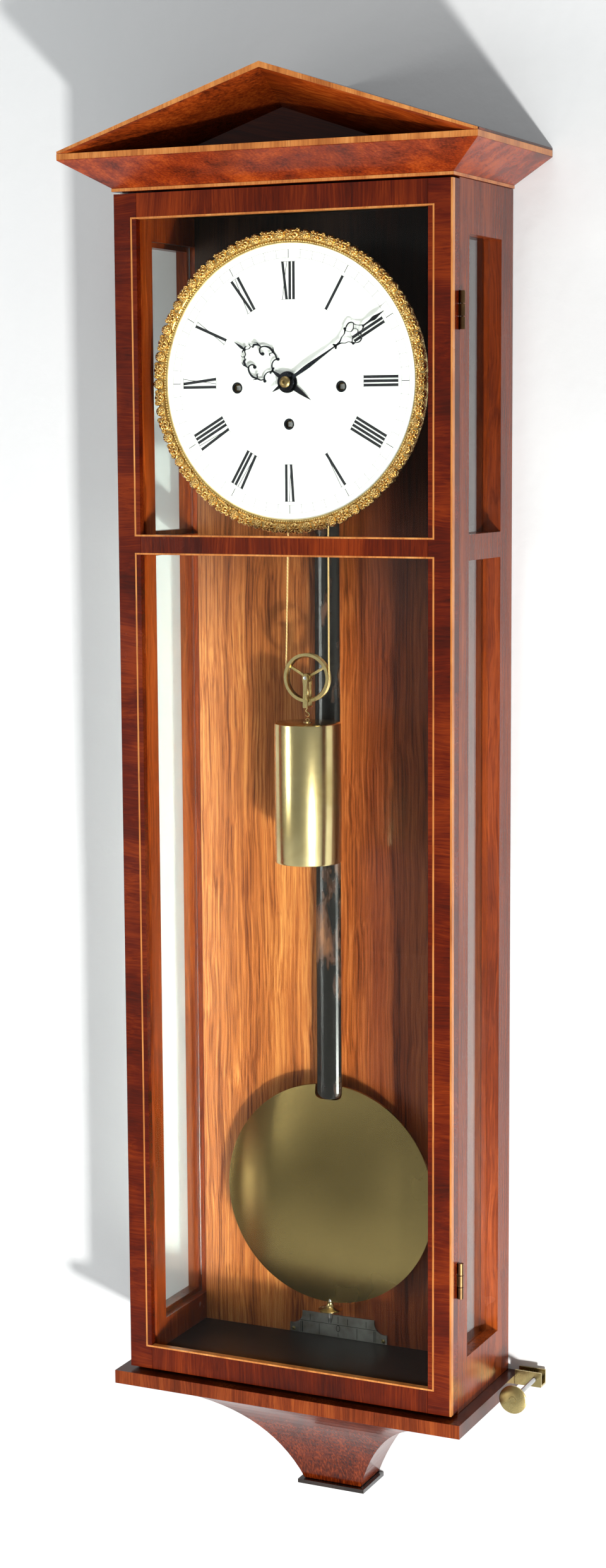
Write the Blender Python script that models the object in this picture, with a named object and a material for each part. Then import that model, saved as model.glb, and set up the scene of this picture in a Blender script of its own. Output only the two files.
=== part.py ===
"""Gabled wall clock: weight-driven going train, two spring-driven strike trains, and a pendulum on a spring.

Sizes are in metres. X runs to the right seen from the front, Y into the wall and Z up. The wall is the
plane Y = 0 and the clock hangs from the origin, so every distance from the wall is counted along -Y.
"""

import math

import bmesh
import bpy
from mathutils import Matrix, Vector

# ---------------------------------------------------------------- driving dimensions
GAP = 0.0003                      # joint between two pieces that touch
RUNNING = 0.0001                  # radial clearance of a pivot in its hole

# dial, hands and motion work
DIAL_RADIUS = 0.0985              # enamel plate, under the bezel's lip
DIAL_THICKNESS = 0.0018
DIAL_SETBACK = 0.003              # dial face behind the front edge of the case
BEZEL_WIDTH = 0.0105
BEZEL_LIP = 0.002                 # how far the bezel covers the dial
BEZEL_RISE = 0.0055               # bezel in front of the dial face
MOTION_WORK_SPACE = 0.0082        # dial back to front plate
WINDING_HOLE_RADIUS = 0.0037
STRIKE_WINDER_X = 0.0405
STRIKE_WINDER_DROP = 0.0035
GOING_WINDER_DROP = 0.0293
WINDING_SQUARE = 0.0036
MINUTE_HAND_LENGTH = 0.089
MINUTE_HAND_ANGLE = 57.6          # degrees clockwise from twelve
HOUR_HAND_LENGTH = 0.0503
HOUR_HAND_ANGLE = 304.8
HAND_THICKNESS = 0.0009
HOUR_HAND_STAND = 0.0022          # dial face to hour hand
CANNON_RADIUS = 0.0022
HOUR_PIPE_RADIUS = 0.0038
PIPE_WALL = 0.0009
HAND_SPACING = 0.0022             # hour hand to minute hand
HAND_PIPE_END = 0.0005            # cannon pipe in front of the minute hand
CENTRE_ARBOR_END = 0.0004         # centre arbor in front of the cannon pipe
HAND_NUT_RADIUS = 0.0040
HAND_NUT_HEIGHT = 0.0018
CANNON_SPACE = 0.0010             # front plate to cannon pinion
HOUR_WHEEL_SPACE = 0.0032         # back of the cannon pinion to the hour wheel

# weight and pulley
WEIGHT_RADIUS = 0.0243
WEIGHT_HEIGHT = 0.1025
WEIGHT_HOOK_DROP = 0.0327         # pulley centre to the weight's top
PULLEY_DROP = 0.2110              # pulley centre below the dial centre
PULLEY_RADIUS = 0.0178
PULLEY_THICKNESS = 0.0052
LINE_RADIUS = 0.0006
PULLEY_RIM = 0.0042               # height of the pulley's rim, groove included
PULLEY_WEB = 0.0022
EYE_HEIGHT = 0.0032               # eye on top of the weight
EYE_RADIUS = 0.0016
STIRRUP_SPACE = 0.0008            # pulley to each cheek
STIRRUP_CHEEK = 0.0010
STIRRUP_HALF_WIDTH = 0.0022
STIRRUP_FOOT = 0.0062             # cheek's foot below the pulley's rim
HOOK_RADIUS = 0.0011
PULLEY_GROOVE = 0.0016
WEIGHT_FRONT_CLEARANCE = 0.0067
WEIGHT_BACK_CLEARANCE = 0.0027

# pendulum
PIVOT_RISE = 0.0458               # suspension point above the dial centre
PENDULUM_LENGTH = 0.6504          # suspension point to bob centre
BOB_RADIUS = 0.0845
BOB_THICKNESS = 0.016
BOB_EDGE = 0.003
BOB_BACK_CLEARANCE = 0.007
SWING_DEGREES = 2.2
ROD_WIDTH = 0.020
ROD_DEPTH = 0.009
ROD_NOTCH_DEPTH = 0.0112          # how deep the rod's end sits in the bob
RATING_ROD_RADIUS = 0.0016
RATING_NUT_RADIUS = 0.0093
RATING_NUT_HEIGHT = 0.0088
POINTER_LENGTH = 0.0085           # rating rod below the nut
SPRING_LENGTH = 0.016
SPRING_WIDTH = 0.008
SPRING_THICKNESS = 0.0003
FERRULE_HEIGHT = 0.010
FERRULE_HALF_WIDTH = 0.005
FERRULE_HALF_DEPTH = 0.004
RATING_CONE_FOOT = 0.0030         # the nut's hub, at its flange and at its top
RATING_CONE_TOP = 0.0026
NOTCH_SIDE_CLEARANCE = 0.0010     # rod in the bob's notch

# movement
PLATE_HALF_WIDTH = 0.062
PLATE_HALF_HEIGHT = 0.070
PLATE_THICKNESS = 0.002
CRUTCH_SPACE = 0.0105             # pendulum rod to back plate
PILLAR_RADIUS = 0.0032
PILLAR_INSET = 0.006              # pillar centre from the plate's edges
LINE_POST_RADIUS = 0.0016
DRUM_RADIUS = 0.0121
DRUM_FLANGE_RADIUS = 0.0142
ARBOR_RADIUS = 0.0012
WINDING_ARBOR_RADIUS = 0.0024
TRAIN_ARBOR_RADIUS = 0.0010
PIVOT_RADIUS = 0.0007             # the thin end of an arbor, in its plate
WINDING_ARBOR_STAND = 0.002       # round part of a winding arbor in front of the plate
WHEEL_THICKNESS = 0.0015
WHEEL_RIM = 0.0024                # pitch circle to the windows
GREAT_WHEEL_RIM = 0.0030
PINION_OVERLAP = 0.0006           # pinion past its wheel on each side
CENTRE_PINION_OVERLAP = 0.0008
LAYER_SPACE = 0.0020              # third wheel to great wheel
PLATE_SPACE = 0.0025              # plate to the nearest wheel
DRUM_FRONT_SPACE = 0.0010
DRUM_FLANGE = 0.0012
DRUM_FLANGE_BEVEL = 0.0006
GREAT_TEETH, CENTRE_PINION = 108, 6
CENTRE_TEETH, THIRD_PINION = 80, 8
THIRD_TEETH, ESCAPE_PINION = 60, 8
CANNON_TEETH, MINUTE_TEETH = 10, 30
MINUTE_PINION, HOUR_TEETH = 8, 32
ESCAPE_TEETH = 30
CENTRE_TO_THIRD = 0.0190
THIRD_TO_ESCAPE = 0.0181
CENTRE_TO_ESCAPE = 0.0230
MOTION_DISTANCE = 0.0140          # centre arbor to minute wheel
ESCAPE_RADIUS = 0.0160
ESCAPE_TOOTH = 0.0016
ESCAPE_RIM = 0.0032
ESCAPE_PLANE = 0.0010             # escape wheel in front of the line's plane
CRUTCH_PLANE = 0.0050             # crutch behind the back plate
CRUTCH_LENGTH = 0.060             # suspension point to the crutch's foot
CRUTCH_HALF_WIDTH = 0.0012
CRUTCH_PIN_WIDTH = 0.0020
CRUTCH_PIN_HEIGHT = 0.0020
CRUTCH_PIN_RISE = 0.0002          # pin above the crutch's foot
CRUTCH_PIN_REACH = 0.002          # pin's end in front of the pendulum's middle plane
CRUTCH_SLOT_HEIGHT = 0.006        # slot in the rod, 2 mm free above and below the pin
CRUTCH_SLOT_ABOVE = 0.002
PALLET_CLEARANCE = 0.0014         # pallets outside the escape wheel
BARREL_RADIUS = 0.0196
BARREL_INSET = 0.0015             # strike barrel shorter than the drum at each end
GONG_DROP = 0.040                 # gong centre below the dial centre
GONG_RADIUS = 0.034
GONG_WIRE = 0.0010
GONG_INNER_RADIUS = 0.013
GONG_TURNS = 2.25
GONG_LAYERS = {"quarter": 0.0035, "hour": 0.0075}  # coils in front of the back board
GONG_BLOCK_HALF_WIDTH = 0.009
GONG_BLOCK_HEIGHT = 0.010
HAMMER_X = 0.050
HAMMER_DROP = 0.056
HAMMER_RADIUS = 0.0035
HAMMER_CLEARANCE = 0.0006         # hammer at rest to its gong
HAMMER_ARM_BACK = 0.0030          # back plate to the arm's far face
HAMMER_ARM_FRONT = 0.0014
HAMMER_ARM_HALF_WIDTH = 0.0016
HAMMER_HUB_RADIUS = 0.0028

# case
HANGER_DROP = 0.035               # hanging point below the case top
SIDE_THICKNESS = 0.016
SIDE_FRONT_STILE = 0.018
SIDE_BACK_STILE = 0.023
SIDE_TOP_RAIL = 0.0368
SIDE_UPPER_LIGHT = 0.205
SIDE_MIDDLE_RAIL = 0.018
SIDE_BOTTOM_RAIL = 0.037
SIDE_LIP = 0.009
BACK_BOARD_FRONT = 0.022          # wall to the face seen through the glass
BACK_BOARD_THICKNESS = 0.018
BOARD = 0.0122                    # top and bottom boards
GLASS = 0.0018
REBATE = 0.0035
DOOR_THICKNESS = 0.0125
DOOR_STILE = 0.0179
DOOR_TOP_RAIL = 0.0178
BEZEL_TOP_MARGIN = 0.0092         # bezel to the door's top rail
BEZEL_FOOT_MARGIN = 0.0006        # bezel to the door's middle rail
DOOR_MIDDLE_RAIL = 0.0141
DOOR_BOTTOM_RAIL = 0.0179
DOOR_LIP = 0.005
DOOR_TOP_GAP = 0.0016
DOOR_BOTTOM_GAP = 0.0026
DOOR_SIDE_MARGIN = 0.0051         # bezel to door stile
SIDE_CLEARANCE = 0.002            # swinging bob to the side frame
FLOOR_CLEARANCE = 0.0336          # bob to the floor
HINGE_HEIGHT = 0.026
UPPER_HINGE_DROP = 0.0889
LOWER_HINGE_RISE = 0.0995
KNUCKLE_RADIUS = 0.0021
HINGE_PIN_RADIUS = 0.0009
LEAF_THICKNESS = 0.0007
LEAF_WIDTH = 0.0105

# plinth, pendant, cornice and pediment
PLINTH_OVERHANG = 0.0095
PLINTH_FRONT_OVERHANG = 0.0080
PLINTH_THICKNESS = 0.010
PENDANT_HEIGHT = 0.088
PENDANT_TOP_INSET = 0.0195        # pendant inside the plinth's edge
PENDANT_TOP_FRONT_INSET = 0.002
PENDANT_FOOT_HALF_WIDTH = 0.0236
PENDANT_FOOT_DEPTH = 0.0350
PENDANT_BEND_ACROSS = 0.27        # control point of the hollow, as shares of its width and height
PENDANT_BEND_DOWN = 0.22
CAP_OVERHANG = 0.004
CAP_THICKNESS = 0.003
CORNICE_FOOT_OVERHANG = 0.001
CORNICE_OVERHANG = 0.0293
CORNICE_HEIGHT = 0.0251
CORNICE_FOOT_BAND = 0.0025
CORNICE_TOP_BAND = 0.0044
PEDIMENT_HEIGHT = 0.0537
PEDIMENT_EDGE = 0.0015            # upright edge at the eaves
PEDIMENT_STRINGING = 0.0038
PEDIMENT_RECESS = 0.0369
TYMPANUM_HALF_WIDTH = 0.0805
TYMPANUM_HEIGHT = 0.0272
ROOF_BOARD = 0.010

# fittings
BRACKET_HALF_WIDTH = 0.052        # plate that carries the movement on the back board
BRACKET_RISE = 0.014              # above and below the suspension point
BRACKET_DROP = 0.020
BRACKET_THICKNESS = 0.003
CHEEK_X = 0.046
CHEEK_HALF_WIDTH = 0.003
CHEEK_RISE = 0.006
CHEEK_DROP = 0.012
COCK_HALF_WIDTH = 0.007
COCK_HEIGHT = 0.008
COCK_REACH = 0.002                # cock in front of the spring
HANGER_HALF_WIDTH = 0.030
HANGER_ABOVE = 0.018
HANGER_BELOW = 0.032
HANGER_THICKNESS = 0.003
KEYHOLE_DROP = 0.019
KEYHOLE_RADIUS = 0.0045
KEYHOLE_SLOT = 0.005
KEYHOLE_SLOT_HALF = 0.0022
SCALE_HALF_WIDTH = 0.0405
SCALE_HEIGHT = 0.0175
SCALE_THICKNESS = 0.0010
SCALE_HOLLOW = 0.0085             # hollow shoulder of the beat scale
SCALE_STEP = 0.0020
LEVELLER_REACH = 0.0305           # bracket end outside the case side
LEVELLER_ARM = 0.012
LEVELLER_HEIGHT = 0.0110
LEVELLER_RISE = 0.0045            # bracket's top above the case's foot
LEVELLER_SHEET = 0.0014
LEVELLER_WALL_GAP = 0.0015        # bracket to the wall
LEVELLER_SCREW_INSET = 0.0055     # screw from the bracket's end
LEVELLER_SCREW_DROP = 0.0010
LEVELLER_DISC = 0.0022            # thickness of the knob
LEVELLER_BOSS_RADIUS = 0.0042
LEVELLER_BOSS = 0.0012            # boss behind the knob
LEVELLER_TIP = 0.0020
LEVELLER_SCREW_RADIUS = 0.0017
LEVELLER_KNOB_RADIUS = 0.0105
LEVELLER_KNOB_FRONT = 0.058

LARGE_SIDES = 60
ROUND_SIDES = 28
SMALL_SIDES = 16
HOLE_SIDES = 12

# ---------------------------------------------------------------- places worked out from them
PENDULUM_PLANE = BACK_BOARD_FRONT + BOB_BACK_CLEARANCE + BOB_THICKNESS / 2
WEIGHT_PLANE = PENDULUM_PLANE + BOB_THICKNESS / 2 + WEIGHT_BACK_CLEARANCE + WEIGHT_RADIUS
CASE_DEPTH = WEIGHT_PLANE + WEIGHT_RADIUS + WEIGHT_FRONT_CLEARANCE
DIAL_FACE = CASE_DEPTH - DIAL_SETBACK
DIAL_BACK = DIAL_FACE - DIAL_THICKNESS
FRONT_PLATE = DIAL_BACK - MOTION_WORK_SPACE
FRONT_PLATE_BACK = FRONT_PLATE - PLATE_THICKNESS
BACK_PLATE_BACK = PENDULUM_PLANE + ROD_DEPTH / 2 + CRUTCH_SPACE
BACK_PLATE = BACK_PLATE_BACK + PLATE_THICKNESS

BEZEL_RADIUS = DIAL_RADIUS - BEZEL_LIP + BEZEL_WIDTH
BOB_REACH = BOB_RADIUS + (PENDULUM_LENGTH + BOB_RADIUS) * math.radians(SWING_DEGREES) * 0.9
DOOR_HALF_WIDTH = max(BEZEL_RADIUS + DOOR_SIDE_MARGIN + DOOR_STILE,
                      BOB_REACH + SIDE_CLEARANCE + SIDE_THICKNESS)
CASE_INSIDE = DOOR_HALF_WIDTH - SIDE_THICKNESS

CASE_TOP = HANGER_DROP
DIAL_Z = CASE_TOP - DOOR_TOP_GAP - DOOR_TOP_RAIL - BEZEL_TOP_MARGIN - BEZEL_RADIUS
PIVOT_Z = DIAL_Z + PIVOT_RISE
BOB_Z = PIVOT_Z - PENDULUM_LENGTH
BOB_FOOT = BOB_Z - BOB_RADIUS
FLOOR_Z = BOB_FOOT - FLOOR_CLEARANCE
CASE_FOOT = FLOOR_Z - BOARD - 2 * GAP
PULLEY_Z = DIAL_Z - PULLEY_DROP
WEIGHT_TOP = PULLEY_Z - WEIGHT_HOOK_DROP

DOOR_TOP = CASE_TOP - DOOR_TOP_GAP
DOOR_FOOT = CASE_FOOT + DOOR_BOTTOM_GAP
DOOR_BACK = CASE_DEPTH + GAP
DOOR_FRONT = DOOR_BACK + DOOR_THICKNESS
DOOR_GLASS_FRONT = DOOR_FRONT - DOOR_LIP - GAP
DOOR_UPPER_TOP = DOOR_TOP - DOOR_TOP_RAIL
DOOR_UPPER_FOOT = DIAL_Z - BEZEL_RADIUS - BEZEL_FOOT_MARGIN
DOOR_LOWER_TOP = DOOR_UPPER_FOOT - DOOR_MIDDLE_RAIL
DOOR_LOWER_FOOT = DOOR_FOOT + DOOR_BOTTOM_RAIL
DOOR_LIGHT_HALF = DOOR_HALF_WIDTH - DOOR_STILE
HINGE_X = DOOR_HALF_WIDTH + KNUCKLE_RADIUS
HINGE_DEPTH = CASE_DEPTH + GAP / 2

GOING_X, GOING_Z = 0.0, DIAL_Z - GOING_WINDER_DROP
STRIKE_Z = DIAL_Z - STRIKE_WINDER_DROP
ESCAPE_Z = DIAL_Z + CENTRE_TO_ESCAPE
GONG_Z = DIAL_Z - GONG_DROP
HAMMER_Z = DIAL_Z - HAMMER_DROP
DRUM_LINE = DRUM_RADIUS + LINE_RADIUS + GAP
PULLEY_LINE = PULLEY_RADIUS - PULLEY_GROOVE + LINE_RADIUS + GAP
LINE_POST_X = PULLEY_LINE
LINE_POST_Z = DIAL_Z - PLATE_HALF_HEIGHT + PILLAR_INSET


def third_arbor():
    """Where the third arbor stands: its distances to the centre and escape arbors are both given."""
    up = (CENTRE_TO_THIRD ** 2 - THIRD_TO_ESCAPE ** 2 + CENTRE_TO_ESCAPE ** 2) / (2 * CENTRE_TO_ESCAPE)
    return -math.sqrt(CENTRE_TO_THIRD ** 2 - up ** 2), DIAL_Z + up


THIRD_X, THIRD_Z = third_arbor()
MINUTE_X = MOTION_DISTANCE * math.sqrt(0.5)
MINUTE_Z = DIAL_Z + MINUTE_X

# layers of the going train, counted from the wall between the two plates
THIRD_LAYER = BACK_PLATE + PLATE_SPACE
GREAT_LAYER = THIRD_LAYER + WHEEL_THICKNESS + LAYER_SPACE
DRUM_BACK = GREAT_LAYER + WHEEL_THICKNESS + GAP
CENTRE_LAYER = FRONT_PLATE_BACK - PLATE_SPACE - WHEEL_THICKNESS
DRUM_FRONT = CENTRE_LAYER - DRUM_FRONT_SPACE
ESCAPE_LAYER = WEIGHT_PLANE + ESCAPE_PLANE
CRUTCH_LAYER = BACK_PLATE_BACK - CRUTCH_PLANE
TRAIN_BACK = BACK_PLATE + GAP
TRAIN_FRONT = FRONT_PLATE_BACK - GAP


# ---------------------------------------------------------------- materials
def material(name, colour, roughness, metallic=0.0, alpha=1.0):
    made = bpy.data.materials.get(name)
    if made:
        return made
    made = bpy.data.materials.new(name)
    made.use_nodes = True
    shader = made.node_tree.nodes["Principled BSDF"]
    shader.inputs["Base Color"].default_value = (*colour, 1.0)
    shader.inputs["Roughness"].default_value = roughness
    shader.inputs["Metallic"].default_value = metallic
    shader.inputs["Alpha"].default_value = alpha
    return made


MATERIALS = {
    "veneer": ((0.20, 0.045, 0.015), 0.22, 0.0),
    "board": ((0.34, 0.12, 0.04), 0.35, 0.0),
    "ebonised": ((0.012, 0.010, 0.009), 0.20, 0.0),
    "brass": ((0.62, 0.46, 0.18), 0.30, 1.0),
    "gilt": ((0.75, 0.50, 0.16), 0.28, 1.0),
    "old_brass": ((0.42, 0.33, 0.15), 0.38, 1.0),
    "steel": ((0.35, 0.35, 0.36), 0.35, 1.0),
    "blued_steel": ((0.018, 0.020, 0.028), 0.28, 0.8),
    "enamel": ((0.86, 0.86, 0.84), 0.12, 0.0),
    "silvered": ((0.45, 0.44, 0.42), 0.42, 0.9),
    "gut": ((0.62, 0.40, 0.14), 0.50, 0.0),
}


def finish(name):
    if name == "glass":
        return material("glass", (0.93, 0.96, 0.95), 0.03, 0.0, 0.25)
    return material(name, *MATERIALS[name])


# ---------------------------------------------------------------- shapes
def clear_scene():
    for item in list(bpy.data.objects):
        bpy.data.objects.remove(item)


def joint_empty(name, place):
    """An empty on a joint's axis; the pieces of that body are its children."""
    empty = bpy.data.objects.new(name, None)
    empty.location = place
    empty.empty_display_size = 0.02
    bpy.context.scene.collection.objects.link(empty)
    return empty


def add_piece(name, mesh, place, look, parent=None):
    mesh.materials.clear()
    mesh.materials.append(finish(look))
    piece = bpy.data.objects.new(name, mesh)
    bpy.context.scene.collection.objects.link(piece)
    piece.parent = parent
    piece.location = Vector(place) - (parent.location if parent else Vector())
    return piece


def mesh_from(name, shape, smooth=False):
    """Turns a bmesh into a mesh, merged, facing outwards and with its sharp edges kept."""
    bmesh.ops.remove_doubles(shape, verts=shape.verts, dist=1e-7)
    bmesh.ops.recalc_face_normals(shape, faces=shape.faces)
    mesh = bpy.data.meshes.new(name)
    shape.to_mesh(mesh)
    shape.free()
    if smooth:
        mesh.shade_smooth()
        mesh.set_sharp_from_angle(angle=math.radians(35))
    return mesh


def block_mesh(name, low, high):
    """A box between two corners, its mesh centred on the origin. Returns the mesh and its centre."""
    low, high = Vector(low), Vector(high)
    shape = bmesh.new()
    bmesh.ops.create_cube(shape, size=1.0)
    bmesh.ops.scale(shape, vec=high - low, verts=shape.verts)
    return mesh_from(name, shape), (low + high) / 2


def block(name, low, high, look, parent=None):
    mesh, centre = block_mesh(name, low, high)
    return add_piece(name, mesh, centre, look, parent)


def loft(name, rings, look, parent=None, place=(0, 0, 0)):
    """Joins rings of equally many corners, one after another, and closes both ends."""
    shape = bmesh.new()
    rings = [[shape.verts.new(corner) for corner in ring] for ring in rings]
    for one, two in zip(rings, rings[1:]):
        for i in range(len(one)):
            j = (i + 1) % len(one)
            shape.faces.new((one[i], one[j], two[j], two[i]))
    shape.faces.new(rings[0])
    shape.faces.new(rings[-1])
    bmesh.ops.triangulate(shape, faces=shape.faces)
    return add_piece(name, mesh_from(name, shape), place, look, parent)


def prism(name, outline, low, high, axis, look, parent=None, place=(0, 0, 0)):
    """Extrudes a flat outline along an axis; the outline's two numbers are the other two axes in order."""
    order = {"X": (2, 0, 1), "Y": (0, 2, 1), "Z": (0, 1, 2)}[axis]
    rings = [[[(*point, level)[i] for i in order] for point in outline] for level in (low, high)]
    return loft(name, rings, look, parent, place)


AXIS_TURN = {
    "Z": Matrix.Identity(3),
    "Y": Matrix.Rotation(math.radians(90), 3, "X"),
    "X": Matrix.Rotation(math.radians(90), 3, "Y"),
}


def turned(name, profile, sides, look, place, axis="Y", parent=None):
    """Turns a profile of (radius, distance along the axis) points; for Y the distance is from the wall."""
    shape = bmesh.new()
    ends_on_axis = profile[0][0] == 0 and profile[-1][0] == 0
    rings = []
    for radius, along in profile:
        if radius == 0:
            rings.append([shape.verts.new((0, 0, along))] * sides)
            continue
        turns = [2 * math.pi * k / sides for k in range(sides)]
        rings.append([shape.verts.new((radius * math.cos(t), radius * math.sin(t), along)) for t in turns])
    pairs = list(zip(rings, rings[1:]))
    if not ends_on_axis:
        pairs.append((rings[-1], rings[0]))
    for one, two in pairs:
        for k in range(sides):
            j = (k + 1) % sides
            corners = list(dict.fromkeys((one[k], one[j], two[j], two[k])))
            if len(corners) > 2:
                shape.faces.new(corners)
    bmesh.ops.rotate(shape, cent=(0, 0, 0), matrix=AXIS_TURN[axis], verts=shape.verts)
    return add_piece(name, mesh_from(name, shape, smooth=True), place, look, parent)


def rod(name, radius, low, high, look, place, axis="Y", sides=SMALL_SIDES, parent=None):
    profile = [(0, low), (radius, low), (radius, high), (0, high)]
    return turned(name, profile, sides, look, place, axis, parent)


def circle(radius, sides=HOLE_SIDES, centre=(0.0, 0.0)):
    turns = [2 * math.pi * k / sides for k in range(sides)]
    return [(centre[0] + radius * math.cos(t), centre[1] + radius * math.sin(t)) for t in turns]


def hole_for(radius, sides=HOLE_SIDES):
    """The radius of a faceted hole that a shaft turns in."""
    return (radius + RUNNING) / math.cos(math.pi / sides)


def flat_mesh(name, loops, near_wall, away):
    """A sheet in X and Z with any number of holes, from one distance off the wall to another."""
    curve = bpy.data.curves.new(name, "CURVE")
    curve.dimensions = "2D"
    curve.fill_mode = "BOTH"
    curve.extrude = (away - near_wall) / 2
    for loop in loops:
        spline = curve.splines.new("POLY")
        spline.points.add(len(loop) - 1)
        spline.points.foreach_set("co", [c for x, z in loop for c in (x, z, 0, 1)])
        spline.use_cyclic_u = True
    drawn = bpy.data.objects.new(name + "_outline", curve)
    bpy.context.scene.collection.objects.link(drawn)
    mesh = bpy.data.meshes.new_from_object(drawn.evaluated_get(bpy.context.evaluated_depsgraph_get()))
    bpy.data.objects.remove(drawn)
    shape = bmesh.new()
    shape.from_mesh(mesh)
    bmesh.ops.translate(shape, vec=(0, 0, (away + near_wall) / 2), verts=shape.verts)
    bmesh.ops.rotate(shape, cent=(0, 0, 0), matrix=AXIS_TURN["Y"], verts=shape.verts)
    return mesh_from(name, shape)


def flat(name, loops, near_wall, away, look, place=(0, 0, 0), parent=None):
    return add_piece(name, flat_mesh(name, loops, near_wall, away), place, look, parent)


def tube_mesh(name, points, radius, smoothness=2):
    """A round wire along a list of points."""
    curve = bpy.data.curves.new(name, "CURVE")
    curve.dimensions = "3D"
    curve.bevel_depth = radius
    curve.bevel_resolution = smoothness
    curve.use_fill_caps = True
    spline = curve.splines.new("POLY")
    spline.points.add(len(points) - 1)
    spline.points.foreach_set("co", [c for point in points for c in (*point, 1)])
    drawn = bpy.data.objects.new(name + "_path", curve)
    bpy.context.scene.collection.objects.link(drawn)
    mesh = bpy.data.meshes.new_from_object(drawn.evaluated_get(bpy.context.evaluated_depsgraph_get()))
    bpy.data.objects.remove(drawn)
    shape = bmesh.new()
    shape.from_mesh(mesh)
    return mesh_from(name, shape, smooth=True)


def combine(piece, others, operation="UNION", solver="EXACT"):
    """Adds to a piece, or cuts from it, the solids in others, which are then gone."""
    for other in others:
        modifier = piece.modifiers.new(operation.lower(), "BOOLEAN")
        modifier.operation = operation
        modifier.solver = solver
        modifier.object = other
    bpy.context.view_layer.update()
    evaluated = piece.evaluated_get(bpy.context.evaluated_depsgraph_get())
    mesh = bpy.data.meshes.new_from_object(evaluated)
    look = piece.data.materials[0]
    piece.modifiers.clear()
    piece.data = mesh
    mesh.materials.clear()
    mesh.materials.append(look)
    for face in mesh.polygons:
        face.material_index = 0
    for other in others:
        bpy.data.objects.remove(other)
    return piece


def cut(piece, cutters):
    return combine(piece, cutters, "DIFFERENCE")


def helper_block(low, high):
    return block("helper", low, high, "steel")


# ---------------------------------------------------------------- gears
def gear_outline(teeth, distance, partner, phase=0.0):
    """Short teeth with wide gaps, pointed on the fine wheels. The pitch radius is this gear's share of the
    distance to its partner."""
    module = 2 * distance / (teeth + partner)
    pitch = module * teeth / 2
    tip, root = pitch + 0.45 * module, pitch - 0.75 * module
    step = 2 * math.pi / teeth
    corners = ((root, -0.24), (tip, -0.11), (tip, 0.11), (root, 0.24))
    if teeth > 40:
        corners = ((root, -0.5), (tip, 0.0))
    points = []
    for k in range(teeth):
        middle = phase + k * step
        for radius, share in corners:
            turn = middle + share * step
            points.append((radius * math.sin(turn), radius * math.cos(turn)))
    return points


def saw_outline(teeth, tip, root):
    """Escape wheel teeth, leaning the way the wheel turns."""
    step = 2 * math.pi / teeth
    points = []
    for k in range(teeth):
        for radius, share in ((root, 0.0), (tip, 0.42), (tip, 0.52), (root, 0.60)):
            turn = (k + share) * step
            points.append((radius * math.sin(turn), radius * math.cos(turn)))
    return points


def crossings(hub, rim, spokes, half_width):
    """The windows between the straight arms of a wheel."""
    windows = []
    for k in range(spokes):
        start, end = 2 * math.pi * k / spokes, 2 * math.pi * (k + 1) / spokes
        window = []
        for radius, order in ((rim, 1), (hub, -1)):
            margin = math.asin(half_width / radius)
            steps = [start + margin + (end - start - 2 * margin) * i / 3 for i in range(4)]
            window += [(radius * math.sin(t), radius * math.cos(t)) for t in steps[::order]]
        windows.append(window)
    return windows


def wheel_on_arbor(name, wheels, arbor, look, x, z, parent):
    """One solid of wheels and pinions on an arbor: wheels are (loops, near_wall, away), arbor a profile."""
    body = turned(name, arbor, HOLE_SIDES, look, (x, 0, z), "Y", parent)
    added = [flat("helper", loops, near, away, look, (x, 0, z), parent) for loops, near, away in wheels]
    return combine(body, added, solver="MANIFOLD")


def train_arbor():
    """An arbor's profile with a thinner pivot running through a plate at each end."""
    low, high, radius = TRAIN_BACK, TRAIN_FRONT, TRAIN_ARBOR_RADIUS
    far_low, far_high = low - PLATE_THICKNESS, high + PLATE_THICKNESS
    return [(0, far_low), (PIVOT_RADIUS, far_low), (PIVOT_RADIUS, low), (radius, low), (radius, high),
            (PIVOT_RADIUS, high), (PIVOT_RADIUS, far_high), (0, far_high)]


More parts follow.
